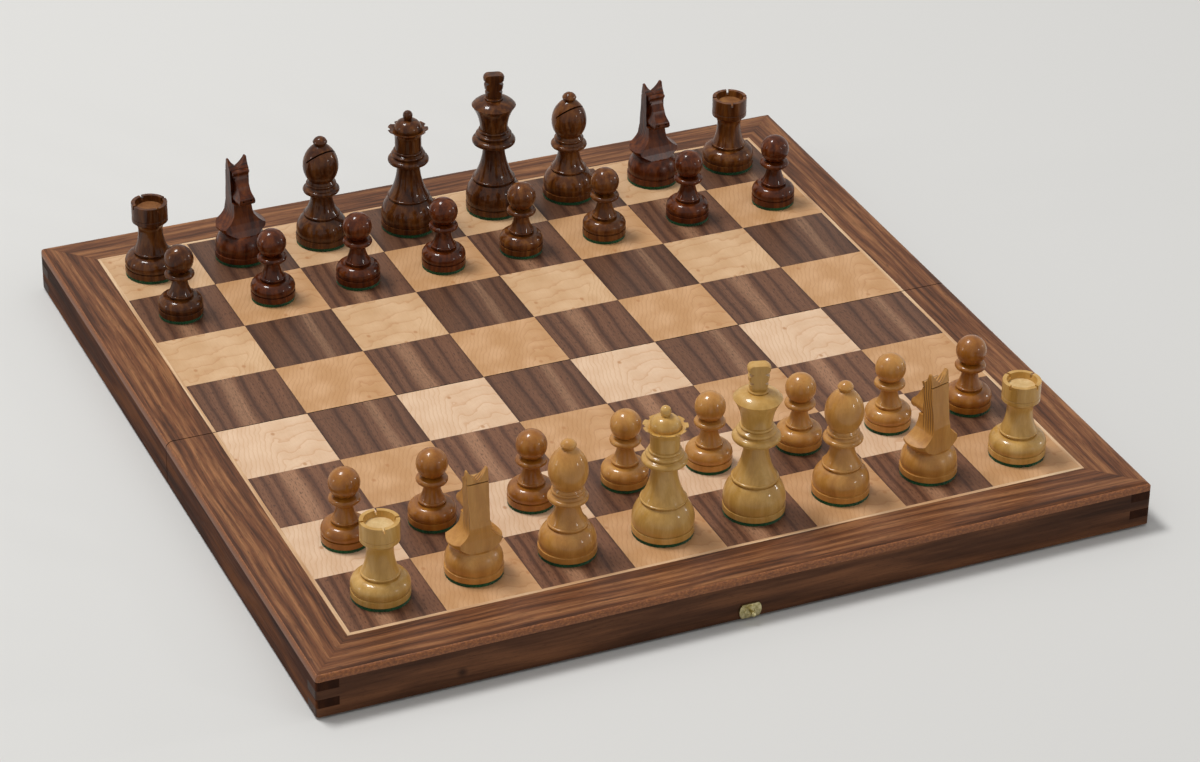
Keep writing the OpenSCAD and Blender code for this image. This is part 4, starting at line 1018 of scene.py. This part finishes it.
@dataclass
class Case:
    """The two trays: rails, core boards and felt linings.

    Lengths are in millimetres. A lining has `grid` cells, is `lining_t` thick, lies in waves up to
    `lining_wave` high at `lining_gap` under the board, and its cut edge wanders by `cut_wander`.
    """

    nodes: dict[str, bpy.types.Object]
    fold: bpy.types.Material
    long_rails: tuple[str, ...] = ("near_fold_rail", "far_back_rail", "far_fold_rail")
    side_rails: tuple[str, ...] = (
        "near_left_rail", "near_right_rail", "far_left_rail", "far_right_rail",
    )
    knot: Triple = (-135.5, -202.5, 8.0)
    rounded: float = 50.0
    grid: tuple[int, int] = (120, 60)
    lining_t: float = 0.85
    lining_gap: float = 0.02
    lining_wave: float = 0.1
    lining_rounded: float = 40.0
    cut_wander: float = 0.3

    def build(self) -> None:
        """Dresses every piece of the case and lays the linings."""
        # Oiled walnut shows brown streaks and open pores under a thin, soft gloss.
        across = Wood("oiled_walnut_long_rail", Grain.ACROSS).build()
        # The side rails hold less oil, so they are duller and warmer.
        away = Wood(
            "oiled_walnut_side_rail", Grain.AWAY, dark="#2c1407", middle="#482410", light="#673a1a",
            roughness=0.6, gloss_level=0.06,
        ).build()
        # The front rail is cut from a livelier board, with paler streaks and one pin knot.
        front = Wood(
            "oiled_walnut_front_rail", Grain.ACROSS, dark="#371e0f", middle="#54331f",
            light="#774c30", contrast=0.19, knot=self.knot,
        ).build()
        dress(self.nodes["near_front_rail"], front)
        for name in self.long_rails:
            dress(self.nodes[name], across)
        for name in self.side_rails:
            dress(self.nodes[name], away)
        # The stained edge of pressed fibres is orange-brown, with short flecks and a satin gloss.
        core = Wood(
            "core_board_stained_edge", Grain.ACROSS, dark="#6a3c1c", middle="#844b22",
            light="#a0642f", pore_tone="#4d2a14", end_tone="#784a2b", streak=0.5, contrast=0.2,
            stretch=2.5, fibre=0.4, fibre_share=0.1, pore=0.35, pore_share=0.5, gloss_level=0.5,
        ).build()
        felt = Felt("wool_felt_lining").build()
        for half in ("near", "far"):
            smooth_corners(self.nodes[half + "_panel"], self.rounded)
            dress_with_fold(self.nodes[half + "_panel"], core, self.fold)
            self.lay_lining(half, felt)
            LOG.info("case: %s half dressed and lined", half)

    def lay_lining(self, half: str, felt: bpy.types.Material) -> None:
        """Lays the felt sheet that covers the underside of a half's core board.

        Args:
            half: "near" or "far".
            felt: the sheet's finish.
        """
        low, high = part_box(half + "_lining")
        size, middle = high - low, (low + high) / 2
        cells = {"x_subdivisions": self.grid[0], "y_subdivisions": self.grid[1]}
        bpy.ops.mesh.primitive_grid_add(**cells, size=1.0)
        sheet = bpy.context.object
        under = (self.lining_wave + self.lining_gap) * MM
        sheet.location = (middle.x, middle.y, high.z - under)
        sheet.scale = (size.x, size.y, 1.0)
        settle(sheet, half + "_felt_lining")
        places = vertex_places(sheet.data)
        self.ripple(places, np.random.default_rng(len(half)))
        self.cut_edges(places, low, high)
        sheet.data.vertices.foreach_set("co", places.ravel())
        bpy.context.view_layer.objects.active = sheet
        solid = sheet.modifiers.new("thickness", "SOLIDIFY")
        solid.thickness = self.lining_t * MM
        solid.offset = -1.0
        bpy.ops.object.modifier_apply(modifier=solid.name)
        sheet.data.shade_smooth()
        bpy.ops.object.shade_smooth_by_angle(angle=math.radians(self.lining_rounded))
        dress(sheet, felt)
        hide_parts(half + "_lining")
        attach(sheet, half + "_half")

    def ripple(self, places: np.ndarray, chance: np.random.Generator) -> None:
        """Lifts a lining into long crossing waves with a little roughness.

        Args:
            places: the places of the sheet's vertices, which are changed.
            chance: the source of the roughness.
        """
        x, y = places[:, 0] / MM, places[:, 1] / MM
        wave = np.sin(x / 17.0 + np.sin(y / 23.0)) + np.sin(y / 13.0 + 1.3 * np.sin(x / 31.0))
        rough = chance.normal(0.0, 0.08, len(x))
        places[:, 2] += (0.35 * wave + rough).clip(-1, 1) * self.lining_wave * MM

    def cut_edges(self, places: np.ndarray, low: Vector, high: Vector) -> None:
        """Lets the four cut edges of a lining wander inward.

        Args:
            places: the places of the sheet's vertices, which are changed.
            low: the lowest corner of the sheet.
            high: its highest corner.
        """
        for i in (0, 1):
            for edge, inward in ((low[i], 1.0), (high[i], -1.0)):
                cut = np.abs(places[:, i] - edge) < 0.01 * MM
                other = places[cut, 1 - i] / MM
                drift = 0.5 + 0.3 * np.sin(other / 9.0) + 0.2 * np.sin(other / 3.7 + i)
                places[cut, i] += inward * drift * self.cut_wander * MM


@dataclass
class PlayingSurface:
    """The veneers: squares, string line and border."""

    nodes: dict[str, bpy.types.Object]
    fold: bpy.types.Material

    def build(self) -> None:
        """Dresses the veneers of both halves."""
        # Maple leaves differ in warmth from rank to rank: cream, straw and tan. The far half's even
        # ranks are darker than the near half's, partly from another leaf and partly as painted
        # shade where the light falls off toward the far side.
        pale = {"tone": "#e1c1a1", "shade": "#d7b492", "line": "#bd8556"}
        soft = {"tone": "#d6b189", "shade": "#caa278", "line": "#b37c4c"}
        warm = {"tone": "#cfa378", "shade": "#c09264", "line": "#a8703f"}
        maple = {
            "near": MapleSquares(
                "maple_veneer_near_leaves",
                even=Rings(bend=20.0, lean=0.28, fall=0.0, flipped=False, **pale),
                odd=Rings(bend=26.0, lean=0.42, fall=0.25, flipped=False, **warm),
            ),
            "far": MapleSquares(
                "maple_veneer_far_leaves",
                even=Rings(bend=21.0, lean=-0.5, fall=0.15, flipped=True, **soft),
                odd=Rings(bend=28.0, lean=0.5, fall=0.35, flipped=False, **warm),
            ),
        }
        # Walnut leaves of the near half are a little paler than those of the far half: partly other
        # leaves, partly painted shade where the light falls off toward the far side.
        walnut = {
            "near": WalnutSquares("walnut_veneer_near_leaves", even_level=0.97, odd_level=1.2),
            "far": WalnutSquares("walnut_veneer_far_leaves", even_level=0.8, odd_level=1.0),
        }
        # Flat-sliced walnut under lacquer shows reddish growth lines and long, dark, open pores.
        border = Wood(
            "walnut_border_satin_lacquer", Grain.FRAMED, dark="#43230f", middle="#6b3f23",
            light="#90603b", pore_tone="#2b160c", streak=3.2, contrast=0.15, stretch=26.0,
            fibre=0.6, fibre_share=0.3, pore=0.4, pore_share=0.55, gloss_level=0.25,
        ).build()
        # A string line of straight-grained maple is even and pale, with hardly a pore.
        string = Wood(
            "maple_string_line", Grain.FRAMED, dark="#bd926a", middle="#cfa881", light="#dfbf99",
            pore_tone="#94663d", streak=2.0, fibre_share=0.06, pore_share=0.2,
        ).build()
        for half in ("near", "far"):
            dress_with_fold(self.nodes[half + "_dark_squares"], walnut[half].build(), self.fold)
            dress_with_fold(self.nodes[half + "_light_squares"], maple[half].build(), self.fold)
            dress_with_fold(self.nodes[half + "_string_line"], string, self.fold)
            dress_with_fold(self.nodes[half + "_border_veneer"], border, self.fold)
            LOG.info("veneers: %s half dressed", half)


@dataclass
class Hardware:
    """The hinges with their screws and pins, and the catch; `rounded` is in degrees."""

    nodes: dict[str, bpy.types.Object]
    names: tuple[str, ...] = (
        "near_hinge_leaves", "far_hinge_leaves", "hinge_pins", "near_hinge_screws",
        "far_hinge_screws", "catch_stud_plate", "catch_hook_plate", "catch_hook",
    )
    rounded: float = 35.0

    def build(self) -> None:
        """Dresses the brass pieces."""
        brass = Brass().build()
        for name in self.names:
            smooth_corners(self.nodes[name], self.rounded)
            dress(self.nodes[name], brass)
            LOG.info("hardware: %s", name)


# Polished sheesham shows brown to red streaks under a thin, clear wax that gives sharp highlights.
SHEESHAM = Turning(
    "turned_sheesham_brown", dark="#381806", middle="#50290c", light="#6c3f17", streak=3.0,
    contrast=0.17, fibre_share=0.1, gloss_level=0.06, coat=0.48, coat_roughness=0.07,
)


class Tone(Enum):
    """The tones of the men: each is cut from another blank, so it is a little paler or redder. The
    amber tone is also darker in part as painted shade.

    Boxwood is an even yellow with hardly any figure, and its wax gives broad, soft highlights.
    """

    PALE = Turning("turned_boxwood_pale", dark="#b08238", middle="#c2954b", light="#d0a763")
    HONEY = Turning("turned_boxwood_honey", dark="#a8702f", middle="#ba823b", light="#c8934b")
    # Amber: a redder blank, and darker in part as painted shade on the pawns that take it.
    AMBER = Turning("turned_boxwood_amber", dark="#824a12", middle="#985d19", light="#ad7328")
    BROWN = SHEESHAM
    CHESTNUT = replace(
        SHEESHAM, name="turned_sheesham_chestnut", dark="#482208", middle="#633612",
        light="#7e4d1e",
    )
    RED = replace(
        SHEESHAM, name="turned_sheesham_red", dark="#3a1404", middle="#552407", light="#6e3610"
    )


@dataclass
class Men:
    """The thirty-two men, each a wooden body on a felt pad.

    Lengths are in millimetres, angles in degrees. A pad stands `pad_proud` past the foot, reaches
    `pad_lap` into its neighbours, has `pad_sides` corners and `pad_cuts` rings of them round its
    edge, and its fuzz spreads by `pad_fuzz`, `fuzz_limit` at most. `pad_turn` turns each pad by
    its place along X, in radians for each metre, so that no two show the same edge.
    """

    nodes: dict[str, bpy.types.Object]
    knight_turns: dict[str, float] = field(default_factory=lambda: {
        "white_knight_b": 92.0, "white_knight_g": 105.0,
        "black_knight_b": -84.0, "black_knight_g": -86.0,
    })
    tones: dict[str, Tone] = field(default_factory=lambda: {
        **{f"white_pawn_{file}": Tone.AMBER for file in "abch"},
        **{f"white_{man}": Tone.PALE for man in ("king", "queen", "rook_a", "rook_h")},
        **{f"black_pawn_{file}": Tone.RED for file in "bcdgh"},
        **{f"black_knight_{file}": Tone.RED for file in "bg"},
        **{f"black_{man}": Tone.CHESTNUT for man in ("pawn_e", "pawn_f", "bishop_f", "rook_h")},
    })
    rounded: float = 32.0
    knight_head_h: float = 36.6
    knight_polish: float = 0.25
    cup_h: float = 3.0
    cup_r: float = 7.0
    pad_proud: float = 0.12
    pad_lap: float = 0.03
    pad_margin: float = 0.5
    pad_sides: int = 144
    pad_cuts: int = 5
    pad_fuzz: float = 0.13
    fuzz_limit: float = 0.3
    pad_turn: float = 977.0

    def build(self) -> None:
        """Dresses the men of both sides and puts their felt pads under them."""
        felt = Felt("wool_felt_pad").build()
        built = {tone: tone.value.build() for tone in Tone}
        # End grain soaks up the wax, so the floor of a rook's cup is dull.
        bare = {"roughness": 0.6, "coat": 0.0}
        raw = {
            "white": Turning("boxwood_end_grain", "#c2a06a", "#d2b27c", "#e0c695", **bare).build(),
            "black": Turning("sheesham_end_grain", "#5f381b", "#7e5029", "#96683a", **bare).build(),
        }
        patterns: dict[float, bpy.types.Object] = {}
        for name, node in self.nodes.items():
            side = name.split("_")[0]
            if side not in raw:
                continue
            tone = self.tones.get(name, Tone.HONEY if side == "white" else Tone.BROWN)
            smooth_corners(node, self.rounded)
            middle, radius = self.foot(node)
            wood = self.carved(name, tone, middle) if name in self.knight_turns else built[tone]
            dress(node, wood, felt, raw[side])
            self.mark_faces(node, middle, "rook" in name)
            if radius not in patterns:
                patterns[radius] = self.cut_pad(radius)
            self.glue_pad(name, patterns[radius], middle, felt)
            LOG.info("men: %s", name)
        for pattern in patterns.values():
            bpy.data.objects.remove(pattern)

    def carved(self, name: str, tone: Tone, middle: Vector) -> bpy.types.Material:
        """Gives a knight its wood with the strokes of the knife, less polished than turned wood.

        Args:
            name: the knight's name.
            tone: the tone of its blank.
            middle: its axis.

        Returns:
            The material.
        """
        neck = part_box(name)[1].z / MM - self.knight_head_h
        strokes = Strokes((middle[0] / MM, middle[1] / MM, neck), self.knight_turns[name])
        wood = replace(tone.value, name=f"{tone.value.name}_{name}", strokes=strokes)
        return replace(wood, coat_roughness=self.knight_polish).build()

    def foot(self, node: bpy.types.Object) -> tuple[Vector, float]:
        """Finds a man's axis and the radius of its pad.

        Args:
            node: the man.

        Returns:
            The axis at the level of the board, and the radius, in metres.
        """
        places = vertex_places(node.data)
        # Only the ring of the foot lies within a tenth of a millimetre of the board.
        under = places[places[:, 2] < (TOP_Z + 0.1) * MM]
        low, high = under.min(0), under.max(0)
        radius = round(float(high[0] - low[0]) / 2 / MM, 2) * MM
        return Vector(((low + high) / 2).tolist()), radius

    def mark_faces(self, node: bpy.types.Object, middle: Vector, cup: bool) -> None:
        """Gives the faces of the pad the second finish, and the floor of a rook's cup the third.

        Args:
            node: the man.
            middle: its axis.
            cup: whether it has a cup on top.
        """
        mesh = node.data
        centres = np.empty(len(mesh.polygons) * 3, np.float32)
        mesh.polygons.foreach_get("center", centres)
        centres = centres.reshape(-1, 3)
        marks = (centres[:, 2] < (TOP_Z + FELT_T - self.pad_lap) * MM).astype(np.int32)
        if cup:
            floor_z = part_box(node.name)[1].z - self.cup_h * MM
            level = np.abs(centres[:, 2] - floor_z) < 0.3 * MM
            away = np.hypot(centres[:, 0] - middle.x, centres[:, 1] - middle.y)
            marks[level & (away < self.cup_r * MM)] = 2
        mesh.polygons.foreach_set("material_index", marks)
        mesh.update()

    def cut_pad(self, radius: float) -> bpy.types.Object:
        """Models one pad with its fuzzy cut edge, standing on the level of the board at the origin.

        Args:
            radius: the radius of the pad, in metres.

        Returns:
            The pad that the men's pads are copied from.
        """
        bpy.ops.mesh.primitive_cylinder_add(
            vertices=self.pad_sides, radius=radius + self.pad_proud * MM,
            depth=(FELT_T + self.pad_lap) * MM, location=(0.0, 0.0, (TOP_Z + FELT_T / 2) * MM),
        )
        pad = bpy.context.object
        settle(pad, "pad_pattern")
        # Both caps get a margin, so that the fuzz doesn't pull at their middles.
        edit(pad, "FACE")
        bpy.ops.mesh.select_all(action="DESELECT")
        bpy.ops.object.mode_set(mode="OBJECT")
        for face in pad.data.polygons:
            face.select = abs(face.normal.z) > 0.5
        bpy.ops.object.mode_set(mode="EDIT")
        bpy.ops.mesh.inset(thickness=self.pad_margin * MM, depth=0.0, use_individual=True)
        # The upright edges are cut into short ones, whose ends then stand out as fuzz.
        bpy.ops.mesh.select_mode(type="EDGE")
        bpy.ops.mesh.select_all(action="DESELECT")
        bpy.ops.object.mode_set(mode="OBJECT")
        places = vertex_places(pad.data)
        for edge in pad.data.edges:
            first, second = places[edge.vertices[0]], places[edge.vertices[1]]
            edge.select = bool(abs(first[2] - second[2]) > MM)
        bpy.ops.object.mode_set(mode="EDIT")
        bpy.ops.mesh.subdivide(number_cuts=self.pad_cuts)
        bpy.ops.object.mode_set(mode="OBJECT")
        places = vertex_places(pad.data)
        reach = np.hypot(places[:, 0], places[:, 1])
        rim = reach > radius
        chance = np.random.default_rng(round(radius / MM * 100))
        fuzz = chance.normal(0.0, self.pad_fuzz, int(rim.sum()))
        fuzz = fuzz.clip(-self.fuzz_limit, self.fuzz_limit)
        places[rim, :2] *= (1 + fuzz * MM / reach[rim])[:, None]
        pad.data.vertices.foreach_set("co", places.ravel())
        pad.data.update()
        return pad

    def glue_pad(
        self,
        man: str,
        pattern: bpy.types.Object,
        middle: Vector,
        felt: bpy.types.Material,
    ) -> None:
        """Copies a pad under a man's foot.

        Args:
            man: the man's name.
            pattern: the pad to copy.
            middle: the man's axis.
            felt: the pad's finish.
        """
        pad = pattern.copy()
        pad.data = pattern.data.copy()
        pad.name = pad.data.name = man + "_felt_pad"
        bpy.context.collection.objects.link(pad)
        places = vertex_places(pad.data)
        turn = middle.x * self.pad_turn
        cosine, sine = math.cos(turn), math.sin(turn)
        places[:, :2] = places[:, :2] @ np.array([[cosine, sine], [-sine, cosine]], np.float32)
        places[:, :2] += (middle.x, middle.y)
        pad.data.vertices.foreach_set("co", places.ravel())
        pad.data.update()
        dress(pad, felt)
        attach(pad, man)


def main() -> None:
    """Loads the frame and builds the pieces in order."""
    logging.basicConfig(level=logging.INFO, format="%(message)s")
    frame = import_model()
    bpy.ops.object.select_all(action="DESELECT")
    nodes = frame["nodes"]
    Studio().build()
    # The edges that meet at the fold are painted nearly black as painted shade of the gap, so the
    # gap shows as a dark line.
    fold = Wood(
        "fold_edge_painted_shade", Grain.ACROSS, dark="#140a05", middle="#1f1009", light="#2c180d",
        streak=0.8, gloss_level=0.1,
    ).build()
    Case(nodes, fold).build()
    PlayingSurface(nodes, fold).build()
    Hardware(nodes).build()
    Men(nodes).build()
    bpy.context.scene.view_settings.view_transform = "Standard"


if __name__ == "__main__":
    main()
